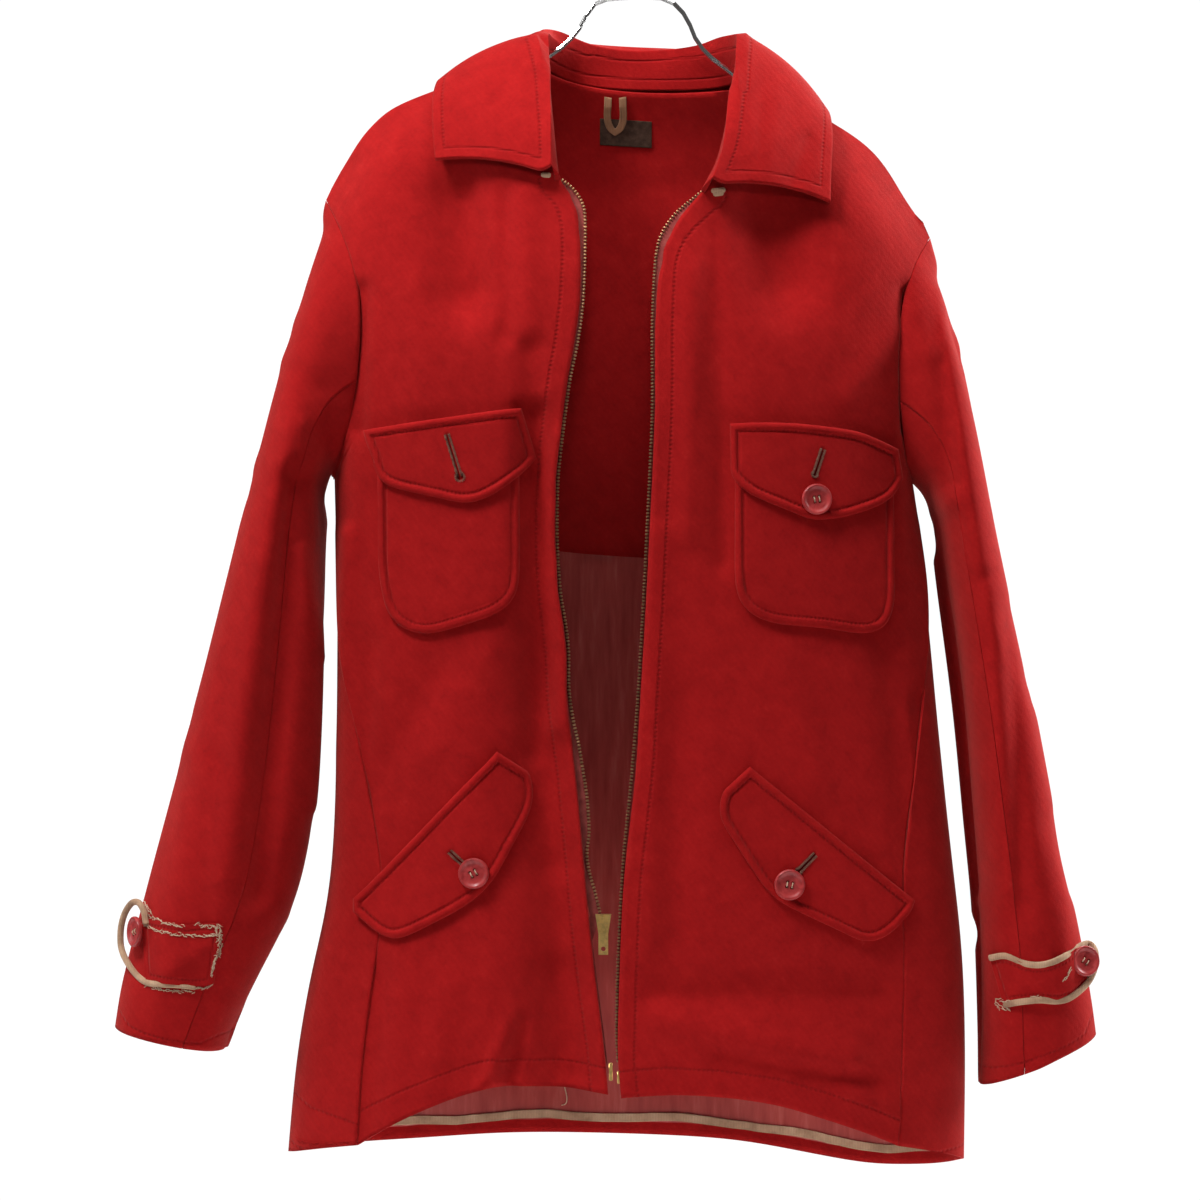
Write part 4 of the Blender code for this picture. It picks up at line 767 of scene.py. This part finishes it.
def along(line, count):
    """Spots spread evenly along a line of view points."""
    fine = even([(px, py, 0.0) for px, py in line], 1.0)
    fine = np.vstack([fine, [*line[-1], 0.0]])
    marks = np.concatenate([[0.0], np.cumsum(np.linalg.norm(np.diff(fine, axis=0), axis=1))])
    places = np.linspace(0.0, marks[-1], count)
    return np.stack([np.interp(places, marks, fine[:, k]) for k in (0, 1)], axis=1)


def strap(name, top, bottom, trees, limits, material, columns=72, rows=26, thick=1.5):
    """Two-skinned strap over the sleeve between two view lines."""
    upper, lower = along(top, columns), along(bottom, columns)
    outer = []
    for a, b in zip(upper, lower):
        for v in np.linspace(0.0, 1.0, rows):
            spot = a + (b - a) * v
            outer.append(on_cloth(trees, spot[0], spot[1], limits, 1.9 + 1.2 * math.sin(math.pi * v)))
    depth = np.array([p.y for p in outer]).reshape(columns, rows)
    for _ in range(6):
        padded = np.pad(depth, 1, mode="edge")
        soft = (padded[:-2, 1:-1] + padded[2:, 1:-1] + padded[1:-1, :-2] + padded[1:-1, 2:]) / 4.0
        depth = np.minimum(depth, soft)
    places = [(p.x * 0.001, y * 0.001, p.z * 0.001) for p, y in zip(outer, depth.ravel())]
    bm = bmesh.new()
    bmesh.ops.create_grid(bm, x_segments=columns - 1, y_segments=rows - 1, size=0.5)
    for vert in bm.verts:
        column, row = round((vert.co.x + 0.5) * (columns - 1)), round((vert.co.y + 0.5) * (rows - 1))
        vert.co = places[column * rows + row]
    made = bmesh.ops.extrude_face_region(bm, geom=bm.faces[:])["geom"]
    bmesh.ops.translate(bm, vec=(0.0, thick * 0.001, 0.0),
                        verts=[part for part in made if isinstance(part, bmesh.types.BMVert)])
    return piece_from(name, bm, material)


# view outlines of the straps in pixels: top and bottom line, spots past which the cloth turns away
STRAPS = {
    "right": ([(141, 906), (147, 917), (165, 921), (185, 925), (205, 923), (223, 924)],
              [(146, 980), (160, 983), (180, 985), (197, 986), (214, 984)], (146.0, 240.0),
              (0.085, 0.055), 0.0033),
    "left": ([(989, 958), (1006, 956), (1027, 964), (1046, 964), (1065, 956), (1080, 946), (1094, 949)],
             [(1003, 1005), (1019, 1002), (1039, 1000), (1057, 1001), (1071, 997), (1088, 983),
              (1095, 969)], (900.0, 1080.0), (0.085, 0.048), 0.0033),
}
# view lines of the binding; y in mm where it stands free of the cloth
BINDING = {
    "right": [(146, 925, -52.0), (144, 912, -48.0), (139, 903, -44.0), (132, 903, -40.0),
              (125, 913, -34.0), (121, 928, -30.0), (121, 946, -31.0), (126, 960, -38.0),
              (135, 973, -48.0), (146, 982, None), (160, 984, None), (180, 985, None), (197, 987, None)],
    "left": [(989, 958, None), (1006, 956, None), (1027, 964, None), (1046, 964, None),
             (1065, 956, None), (1078, 947, None), (1089, 944, None), (1096, 952, None),
             (1096, 967, None), (1088, 983, None), (1071, 997, None), (1057, 1001, None),
             (1039, 1000, None), (1019, 1002, None), (1003, 1005, None)],
}
cuff_trees, tabs = {}, {}
for side, (top, bottom, limits, flat, area) in STRAPS.items():
    cuff_trees[side] = [tree_of(part) for part in sleeve_parts[side]]
    tab = strap("cuff_tab_" + side + "_wool", top, bottom, cuff_trees[side], limits, wool_material(
        "cuff_tab_" + side + "_wool", [("rim_m", 4.6, 2.6, 0)], (0.2, 0.3, 0.8)))
    keep_value(tab, "rim_m", rim_distance(tab, rim_of(tab)))
    dress(tab, "cuff_tab_" + side)
    tabs[side] = tab
    cuff_trees[side].append(tree_of(tab))
    path = []
    for x, y, free in BINDING[side]:
        if free is None:
            path.append(on_cloth(cuff_trees[side], x, y, limits, 0.9))
        else:
            place_x, z = from_view(x, y, free)
            path.append(Vector((place_x, free, z)))
    binding = tubes("cuff_binding_" + side + "_tape", [even(path, 0.8) * 0.001], 0.0024, tan, 14, 0.62)
    dress(binding, "cuff_binding_" + side)

# Lining.
# Rose satin sewn across the lower back, pleated down its middle, gathered into tan binding tape
# just above the hem, where it puckers.
satin, tree, shader, where = surface("rose_satin", {
    "Roughness": 0.42, "Specular IOR Level": 0.35, "Sheen Weight": 0.15,
    "Sheen Tint": (1.0, 0.45, 0.42, 1.0)})
stretched = tree.nodes.new("ShaderNodeMapping")
stretched.inputs["Scale"].default_value = (1.0, 1.0, 0.12)
tree.links.new(where, stretched.inputs["Vector"])
streak = noise(tree, stretched.outputs["Vector"], 160.0, 4.0, 0.6)
tree.links.new(ramp(tree, streak, [(0.3, (0.290, 0.028, 0.024)), (0.55, (0.380, 0.048, 0.039)),
                                   (0.8, (0.470, 0.100, 0.080))]), shader.inputs["Base Color"])
yarn = tree.nodes.new("ShaderNodeTexWave")
yarn.inputs["Scale"].default_value = 420.0
tree.links.new(where, yarn.inputs["Vector"])
bump_into(tree, shader, link_math(tree, "ADD", yarn.outputs["Fac"], streak), 0.25, 0.0003)
lining = fine_shell("lining_satin", "lining_back", satin, 2)
points = points_of(lining)
inner = normals_of(lining)[:, 1] > 0.0
x, z = points[:, 0] * 1000.0, points[:, 2] * 1000.0
low = np.clip((z + 800.0) / -110.0, 0.0, 1.0)
pucker = np.sin(x * 0.30 + 2.2 * np.sin(x * 0.047)) * 1.5 + np.sin(x * 0.13 + 1.0 + z * 0.02) * 1.3
pleat = 2.2 * np.exp(-((x + 35.0 - (z + 527.0) * 0.02) / 3.0) ** 2) - 1.6 * np.exp(-((x + 26.0) / 5.0) ** 2)
wave = 1.0 * np.sin(x * 0.05 + z * 0.011)
inwards = np.clip(points[:, 1] * 30.0, 0.0, 1.0)
back_tree = tree_of(back)


def wall_behind(tree, x, z):
    """First cloth towards the back from just in front of the middle plane, in metres."""
    return tree.ray_cast(Vector((x, -0.02, z)), Vector((0.0, 1.0, 0.0)))[0]


for k in range(len(points)):
    if points[k, 1] > 0.0:
        wall = wall_behind(back_tree, points[k, 0], points[k, 2])
        if wall is not None:
            skin = 0.2 if inner[k] else 1.0
            points[k, 1] = wall.y - 0.001 * (skin + max(
                low[k] * (pucker[k] + 2.0) + pleat[k] + wave[k] + 1.0, 0.3)) * inwards[k]
put_points(lining, points)
dress(lining, "lining_back")
binding = fine_shell("lining_binding_tape", "lining_binding", tan, 3)
points = points_of(binding)
inner = normals_of(binding)[:, 1] > 0.0
lining_tree = tree_of(lining)
for k in range(len(points)):
    wall = wall_behind(lining_tree, points[k, 0], points[k, 2] + 0.002)
    if points[k, 1] > 0.0 and wall is not None:
        points[k, 1] = wall.y - (0.0004 if inner[k] else 0.0014)
points[:, 2] += np.sin(points[:, 0] * 60.0) * 0.0012
put_points(binding, points)
dress(binding, "lining_binding")

# Zip.
# A separating metal zip: rose cotton tapes sewn behind the front edges, bronze teeth clamped
# along them, brass slider left on the wearer's right half, with its pull tab hanging.


def roughness_from(tree, shader, mask, least, most):
    node = tree.nodes.new("ShaderNodeMapRange")
    node.inputs["To Min"].default_value = least
    node.inputs["To Max"].default_value = most
    tree.links.new(mask, node.inputs["Value"])
    tree.links.new(node.outputs["Result"], shader.inputs["Roughness"])


def metal(name, colour, rough, wear_and_shade=0.25):
    """Solid metal with a cloudy patina, darker by wear where it is dull."""
    material, tree, shader, where = surface(name, {"Metallic": 1.0})
    patina = noise(tree, where, 240.0, 4.0, 0.6)
    dark = tuple(c * (1.0 - wear_and_shade) for c in colour)
    tree.links.new(ramp(tree, patina, [(0.35, dark), (0.6, colour)]), shader.inputs["Base Color"])
    roughness_from(tree, shader, patina, rough * 0.8, rough * 1.35)
    bump_into(tree, shader, patina, 0.12, 0.0002)
    return material


rose_tape, tree, shader, where = surface("rose_zip_tape", {"Roughness": 0.8, "Specular IOR Level": 0.2})
ribs = tree.nodes.new("ShaderNodeTexWave")
ribs.bands_direction = "Z"
ribs.inputs["Scale"].default_value = 300.0
tree.links.new(where, ribs.inputs["Vector"])
tree.links.new(ramp(tree, noise(tree, where, 150.0), [
    (0.3, (0.190, 0.026, 0.024)), (0.7, (0.300, 0.056, 0.048))]), shader.inputs["Base Color"])
bump_into(tree, shader, ribs.outputs["Fac"], 0.4, 0.0003)

ZIP_EDGE = {"right": RIGHT_EDGE, "left": LEFT_EDGE}
# the left teeth take a darker copy of the same bronze: painted shade, not a different metal
bronze = {"right": metal("bronze_teeth", (0.56, 0.33, 0.17), 0.4),
          "left": metal("bronze_teeth_painted_shade", (0.34, 0.19, 0.10), 0.45)}
TOOTH = (1.25, 1.15, 0.72)          # half its width, depth and height in mm
TOOTH_PITCH = 2.55
front_trees = {side: tree_of(piece) for side, piece in fronts.items()}
for side in ("right", "left"):
    inwards = -1.0 if side == "right" else 1.0
    edge = sorted(ZIP_EDGE[side], key=lambda row: row[1])
    edge_x = [row[0] for row in edge]
    edge_z = [row[1] for row in edge]
    line = even([(x, 0.0, z) for x, z in TEETH[side]], TOOTH_PITCH)
    depth = []
    for x, _, z in line:
        wool_x = float(np.interp(z, edge_z, edge_x)) + inwards * 3.0
        depth.append(skin_at(front_trees[side], wool_x, z)[0])
    known = [k for k, d in enumerate(depth) if d is not None]
    y = np.interp(range(len(depth)), known, [depth[k].y for k in known]) * 1000.0
    y = np.convolve(np.pad(y, 4, mode="edge"), np.ones(9) / 9.0, mode="valid")
    line[:, 1] = y + 2.9
    # the tape, from behind the wool to just past the teeth
    low_z = -866.0 if side == "right" else -862.0
    rows = [tuple(p) for p in line] + ([(-26.0, line[-1][1], z) for z in (-775.0, -800.0, -830.0, low_z)]
                                       if side == "right" else [])
    rings = []
    for k, (x, tooth_y, z) in enumerate(rows):
        wool_x = float(np.interp(z, edge_z, edge_x))
        outer = x - inwards * 0.4 if k < len(line) else wool_x - inwards * 1.5
        inner = (x if k < len(line) else wool_x) + inwards * 7.5
        wool = skin_at(front_trees[side], inner, z)[0]
        inner_y = tooth_y if wool is None else max(tooth_y, wool.y * 1000.0 + 2.6)
        rings.append([(place * 0.001, y * 0.001, z * 0.001) for place, y in (
            (inner, inner_y + 0.6), (outer, tooth_y + 0.4), (outer, tooth_y + 1.2), (inner, inner_y + 1.4))])
    bm = bmesh.new()
    sweep(bm, rings)
    tape = piece_from("zip_tape_" + side + "_cloth", bm, rose_tape)
    dress(tape, "zip_tape_" + side)
    # the teeth, copies of one bevelled block
    bm = bmesh.new()
    bmesh.ops.create_cube(bm, size=2.0)
    bmesh.ops.bevel(bm, geom=bm.edges, offset=0.42, segments=1, affect="EDGES")
    bmesh.ops.triangulate(bm, faces=bm.faces)
    block = bm.verts[:] + bm.edges[:] + bm.faces[:]
    corners = bm.verts[:]
    for point, way in zip(line, np.gradient(line, axis=0)):
        way = way / np.linalg.norm(way)
        across = np.cross(way, (0.0, 1.0, 0.0))
        across /= np.linalg.norm(across)
        deep = np.cross(way, across)
        pose = Matrix([v * half for v, half in zip((across, deep, way), TOOTH)]).transposed().to_4x4()
        pose.translation = point
        tooth = bmesh.ops.duplicate(bm, geom=block)["geom"]
        bmesh.ops.transform(bm, matrix=Matrix.Scale(0.001, 4) @ pose,
                            verts=[part for part in tooth if isinstance(part, bmesh.types.BMVert)])
    bmesh.ops.delete(bm, geom=corners, context="VERTS")
    teeth = piece_from("zip_teeth_" + side, bm, bronze[side])
    trim_piece(teeth, "zip_tape_" + side)
brass = metal("zip_brass", (0.86, 0.56, 0.19), 0.3)


def finish_in(nodes, material):
    """Give CAD pieces that stay showing a finish."""
    for node in nodes:
        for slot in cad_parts[node].material_slots:
            slot.material = material


finish_in(("zip_slider", "zip_pull"), brass)
# the pins at the tapes' lower ends: side, x, z, half width and half height in mm
bm = bmesh.new()
for side, x, z, wide, tall in (("right", -22.2, -869.0, 1.3, 6.5), ("left", -16.4, -873.0, 1.2, 4.5)):
    here = skin_at(front_trees[side], x + (-3.0 if side == "right" else 3.0), z)[0]
    y = (here.y if here is not None else -0.09) + 0.0012
    made = bmesh.ops.create_cube(bm, size=2.0)["verts"]
    bmesh.ops.scale(bm, verts=made, vec=(wide * 0.001, 0.0009, tall * 0.001))
    bmesh.ops.translate(bm, verts=made, vec=(x * 0.001, y, z * 0.001))
pins = piece_from("zip_end_pins", bm, brass)
bm = bmesh.new()
bm.from_mesh(pins.data)
bmesh.ops.bevel(bm, geom=bm.edges, offset=0.0004, segments=2, affect="EDGES")
bm.to_mesh(pins.data)
bm.free()
trim_piece(pins, "zip_slider")

# Label and hanging loop.
# A small dark woven label, bare here, sewn into the back of the neck, and the loop of tan tape
# that hangs over it.
label_cloth, tree, shader, where = surface("label_cloth", {"Roughness": 0.7, "Specular IOR Level": 0.15})
weave = tree.nodes.new("ShaderNodeTexWave")
weave.bands_direction = "Z"
weave.inputs["Scale"].default_value = 600.0
tree.links.new(where, weave.inputs["Vector"])
tree.links.new(ramp(tree, noise(tree, where, 220.0), [
    (0.35, (0.040, 0.019, 0.012)), (0.65, (0.075, 0.038, 0.024))]), shader.inputs["Base Color"])
bump_into(tree, shader, weave.outputs["Fac"], 0.35, 0.0002)
label = fine_shell("label_cloth", "label", label_cloth, 3)
dress(label, "label")
loop_tape = tan.copy()
loop_tape.name = "loop_tape"
for node in loop_tape.node_tree.nodes:
    if node.type == "VALTORGB":
        for element, shade in zip(node.color_ramp.elements, (
                (0.17, 0.070, 0.032, 1.0), (0.27, 0.120, 0.055, 1.0), (0.36, 0.185, 0.095, 1.0))):
            element.color = shade
loop = fine_shell("hanging_loop_tape", "hanging_loop", loop_tape, 3)
points = points_of(loop)
points[:, 2] += np.clip((points[:, 2] + 0.152) / 0.0055, 0.0, 1.0) * 0.011
put_points(loop, points)
dress(loop, "hanging_loop")

# Buttons.
# Turned resin buttons, pinkish red and a little worn: a raised rim, a dished middle with four
# holes, sewn on with tan thread.
resin, tree, shader, where = surface("button_resin", {"Specular IOR Level": 0.35, "Coat Weight": 0.05})
swirl = noise(tree, where, 130.0, 4.0, 0.6, 1.2)
tree.links.new(ramp(tree, swirl, [(0.3, (0.27, 0.018, 0.019)), (0.6, (0.42, 0.036, 0.036)),
                                  (0.85, (0.52, 0.080, 0.075))]), shader.inputs["Base Color"])
roughness_from(tree, shader, swirl, 0.28, 0.5)
thread, tree, shader, where = surface("tan_thread", {"Roughness": 0.8})
twist = noise(tree, where, 900.0, 2.0)
tree.links.new(ramp(tree, twist, [(0.3, (0.38, 0.24, 0.15)), (0.7, (0.66, 0.48, 0.34))]),
               shader.inputs["Base Color"])
bump_into(tree, shader, twist, 0.3, 0.0002)

# radius and height of the button's section in mm, from its middle out and round to the back
BUTTON_SECTION = [(0.0, 2.45), (3.6, 2.4), (6.6, 2.5), (8.2, 3.0), (8.9, 3.75), (9.6, 4.1), (10.4, 4.15),
                  (11.0, 3.7), (11.2, 2.9), (11.2, 1.6), (10.7, 0.7), (9.6, 0.2), (0.0, 0.0)]
bm = bmesh.new()
line = [bm.verts.new((r * 0.001, 0.0, z * 0.001)) for r, z in BUTTON_SECTION]
edges = [bm.edges.new(pair) for pair in zip(line, line[1:])]
bmesh.ops.spin(bm, geom=line + edges, cent=(0, 0, 0), axis=(0, 0, 1), angle=2 * math.pi, steps=48,
               use_merge=True)
bmesh.ops.remove_doubles(bm, verts=bm.verts, dist=1e-6)
bmesh.ops.recalc_face_normals(bm, faces=bm.faces)
blank_mesh = bpy.data.meshes.new("button_blank")
bm.to_mesh(blank_mesh)
bm.free()
blank = bpy.data.objects.new("button_blank", blank_mesh)
bm = bmesh.new()
for k in range(4):
    turn = math.radians(45.0 + 90.0 * k)
    made = bmesh.ops.create_cone(bm, cap_ends=True, segments=20, radius1=0.00115, radius2=0.00115,
                                 depth=0.02)["verts"]
    bmesh.ops.translate(bm, verts=made, vec=(0.0027 * math.cos(turn), 0.0027 * math.sin(turn), 0.0))
drill_mesh = bpy.data.meshes.new("button_drill")
bm.to_mesh(drill_mesh)
bm.free()
drill = bpy.data.objects.new("button_drill", drill_mesh)
for thing in (blank, drill):
    scene.collection.objects.link(thing)
cut = blank.modifiers.new("holes", "BOOLEAN")
cut.object = drill
cut.solver = "EXACT"
bpy.context.view_layer.update()
button_mesh = bpy.data.meshes.new_from_object(blank.evaluated_get(bpy.context.evaluated_depsgraph_get()))
for thing in (blank, drill):
    bpy.data.objects.remove(thing)
BUTTONS = [
    # node, flap below it or none for a cuff tab, turn about its own axis in degrees
    ("button_chest_left", patches["chest_flap_left"], 8.0),
    ("button_lower_right", patches["lower_flap_right"], 30.0),
    ("button_lower_left", patches["lower_flap_left"], -12.0),
    ("button_cuff_right", None, 20.0),
    ("button_cuff_left", None, -35.0),
]
# view spot in pixels, way it faces, height over the cloth in mm
CUFF_BUTTONS = {
    "right": ((137, 932), (-0.86, -0.50, 0.05), 0.0),
    "left": ((1084, 961), (0.36, -0.92, 0.1), 1.2),
}
CUFF_BUTTON_LIMITS = (144.0, 1080.0)        # view columns past which the cuff turns away
for node, cloth, turn in BUTTONS:
    if cloth is None:
        side = node.split("_")[-1]
        spot, normal, lift = CUFF_BUTTONS[side]
        normal = Vector(normal).normalized()
        foot = on_cloth(cuff_trees[side], *spot, CUFF_BUTTON_LIMITS, lift) * 0.001
    else:
        solid = points_of(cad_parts[node])
        centre = solid.mean(axis=0)
        spread = np.linalg.svd(solid - centre)[2][2]
        normal = Vector(spread if spread[1] < 0 else -spread)
        foot = skin_at(tree_of(cloth), centre[0] * 1000.0, centre[2] * 1000.0)[0] + normal * 0.0002
    pose = Matrix.Translation(foot) @ normal.to_track_quat("Z", "Y").to_matrix().to_4x4() @ Matrix.Rotation(
        math.radians(turn), 4, "Z")
    mesh = button_mesh.copy()
    mesh.name = node + "_resin"
    mesh.transform(pose)
    mesh.materials.clear()
    mesh.materials.append(resin)
    mesh.shade_smooth()
    mesh.set_sharp_from_angle(angle=math.radians(40.0))
    button = bpy.data.objects.new(node + "_resin", mesh)
    scene.collection.objects.link(button)
    trim_piece(button, node, node)
    paths = []
    for shift in (-1.9, 1.9):
        for lift in (0.0, 0.35):
            arc = [(shift + lift, -1.9, 1.6), (shift, -1.5, 2.6), (shift - lift * 0.4, 0.0, 3.05 + lift),
                   (shift, 1.5, 2.6), (shift + lift, 1.9, 1.6)]
            paths.append([pose @ Vector((a * 0.001, b * 0.001, c * 0.001)) for a, b, c in arc])
    sewn = tubes(node + "_thread", paths, 0.00042, thread, out=tuple(normal))
    trim_piece(sewn, node)

# Buttonholes.
# Hand-worked holes in each flap: a slit edged with brown buttonhole stitches, the right chest
# one empty, with its round eye showing.
brown_thread, tree, shader, where = surface("brown_thread", {"Roughness": 0.85})
tree.links.new(ramp(tree, noise(tree, where, 700.0), [
    (0.3, (0.115, 0.040, 0.026)), (0.7, (0.26, 0.110, 0.070))]), shader.inputs["Base Color"])
for node, (start, end) in HOLES.items():
    cloth = tree_of(patches[node])
    eye = 2.9 if node == "chest_flap_right" else 1.6
    a, b = Vector(start), Vector(end)
    way = (b - a).normalized()
    side_way = Vector((-way.y, way.x))
    spots = []
    steps = int((b - a).length / 0.85)
    for k in range(steps + 1):
        for sign in (-1, 1):
            spots.append((a + way * (k * 0.85) + side_way * (sign * 0.8), side_way * sign))
    for k in range(18):
        turn = 2 * math.pi * k / 18
        ring = Vector((math.cos(turn), math.sin(turn)))
        if ring.dot(-way) < 0.85:
            spots.append((b + ring * (eye * 0.9), ring))
    paths = []
    for spot, away in spots:
        arc = []
        for reach, lift in ((-0.2, -0.4), (0.35, 0.25), (1.1, 0.3), (1.7, -0.3)):
            place = spot + away * reach
            here = skin_at(cloth, place.x, place.y)[0]
            if here is None:
                break
            base = skin_at(cloth, (spot + away * 1.4).x, (spot + away * 1.4).y)[0]
            arc.append(Vector((place.x * 0.001, (base.y if base is not None else here.y) - lift * 0.001,
                               place.y * 0.001)))
        if len(arc) == 4:
            paths.append(arc)
    worked = tubes(node + "_buttonhole", paths, 0.00036, brown_thread, sides=5)
    trim_piece(worked, node)

# Frayed edges and loose threads.
# Where the tan binding has worn through at the cuffs it shows as rows of frayed yarn. Tape ends
# peep out under the collar's points, the right hem corner is worn, and one pale thread hangs
# loose at the lining's hem.


def fray(name, lines, trees, radius, material, node, spread=1.6, gap=0.3, seed=3):
    """Short crooked yarns along view lines, lying on the first cloth behind them."""
    rng = np.random.default_rng(seed)
    paths = []
    for line in lines:
        spots = even([(*from_view(*spot, near=-55.0), 0.0) for spot in line], 1.5)
        ways = np.gradient(spots, axis=0)
        for spot, way in zip(spots, ways):
            turn = math.atan2(way[1], way[0]) + rng.normal(0.0, 0.35)
            half = rng.uniform(1.2, 2.4)
            off = rng.normal(0.0, spread * 0.35)
            path = []
            for k in range(5):
                t = (k / 4.0 - 0.5) * 2.0 * half
                bend = rng.normal(0.0, 0.25)
                x = spot[0] + math.cos(turn) * t - math.sin(turn) * (off + bend)
                z = spot[1] + math.sin(turn) * t + math.cos(turn) * (off + bend)
                walls = [skin_at(tree, x, z)[0] for tree in trees]
                walls = [w.y for w in walls if w is not None]
                if walls:
                    path.append((x * 0.001, min(walls) - gap * 0.001 - abs(rng.normal(0, 0.0002)), z * 0.001))
            if len(path) > 2:
                paths.append(path)
    piece = tubes(name, paths, radius, material, sides=5)
    trim_piece(piece, node)
    return piece


right_trees, left_trees = cuff_trees["right"], cuff_trees["left"]
fray("right_cuff_fray", [
    [(147, 917), (165, 921), (185, 925)], [(200, 922), (223, 924)],
    [(142, 926), (160, 930), (195, 933), (220, 932)],
    [(222, 924), (224, 935), (222, 950), (216, 965), (214, 974)],
    [(196, 986), (206, 987), (214, 983)], [(140, 905), (150, 913)], [(146, 985), (170, 989), (196, 990)],
    [(220, 926), (222, 938), (220, 952), (214, 966)],
], right_trees, 0.00034, thread, "cuff_binding_right")
fray("left_cuff_fray", [
    [(998, 1003), (1001, 1009), (1010, 1010)], [(1026, 998), (1034, 994), (1042, 998)],
    [(1000, 1001), (1012, 1001)], [(1062, 978), (1066, 972), (1070, 968)],
], left_trees, 0.00032, thread, "cuff_binding_left", seed=8)
collar_trees = [tree_of(collar)] + list(front_trees.values())
bits = []
for spots in ([(541, 172), (546, 173), (551, 173)], [(712, 189), (719, 188), (726, 187)],
              [(714, 192), (720, 191), (725, 190)]):
    line = []
    for x, y in spots:
        place_x, z = from_view(x, y)
        walls = [skin_at(tree, place_x, z)[0] for tree in collar_trees]
        line.append((place_x, min(w.y for w in walls if w is not None) * 1000.0 - 0.8, z))
    bits.append(even(line, 1.0) * 0.001)
trim_piece(tubes("collar_end_tape", bits, 0.0019, tan, 8, 0.5), "collar")
hem_tree = [front_trees["right"], tree_of(back)]
fray("hem_corner_fray", [[(296, 1143), (308, 1144), (322, 1144), (338, 1142), (350, 1139)]],
     hem_tree, 0.0004, wool_material("fray_wool"), "front_right", 1.8, 0.5, 5)
pale = thread.copy()
pale.name = "pale_thread"
body_trees = list(front_trees.values()) + [tree_of(back), tree_of(lining)]
line = even([(*from_view(x, y, 20.0), 0.0) for x, y in (
    (562, 1085), (563, 1095), (566, 1108), (565, 1115), (560, 1117))], 1.0)
path = []
for x, z, _ in line:
    walls = [skin_at(tree, x, z)[0] for tree in body_trees]
    path.append((x * 0.001, min(w.y for w in walls if w is not None) - 0.0006, z * 0.001))
loose = tubes("loose_thread", [path], 0.0004, pale, sides=6)
trim_piece(loose, "lining_binding")

# Hanger.
# Chromed steel wire, bent to shape: two shoulder wires side by side, a swivel and the hook.
chrome = metal("chrome", (0.78, 0.78, 0.77), 0.16, 0.12)
finish_in(("hanger_wire_front", "hanger_wire_back", "hanger_hook", "hanger_swivel"), chrome)
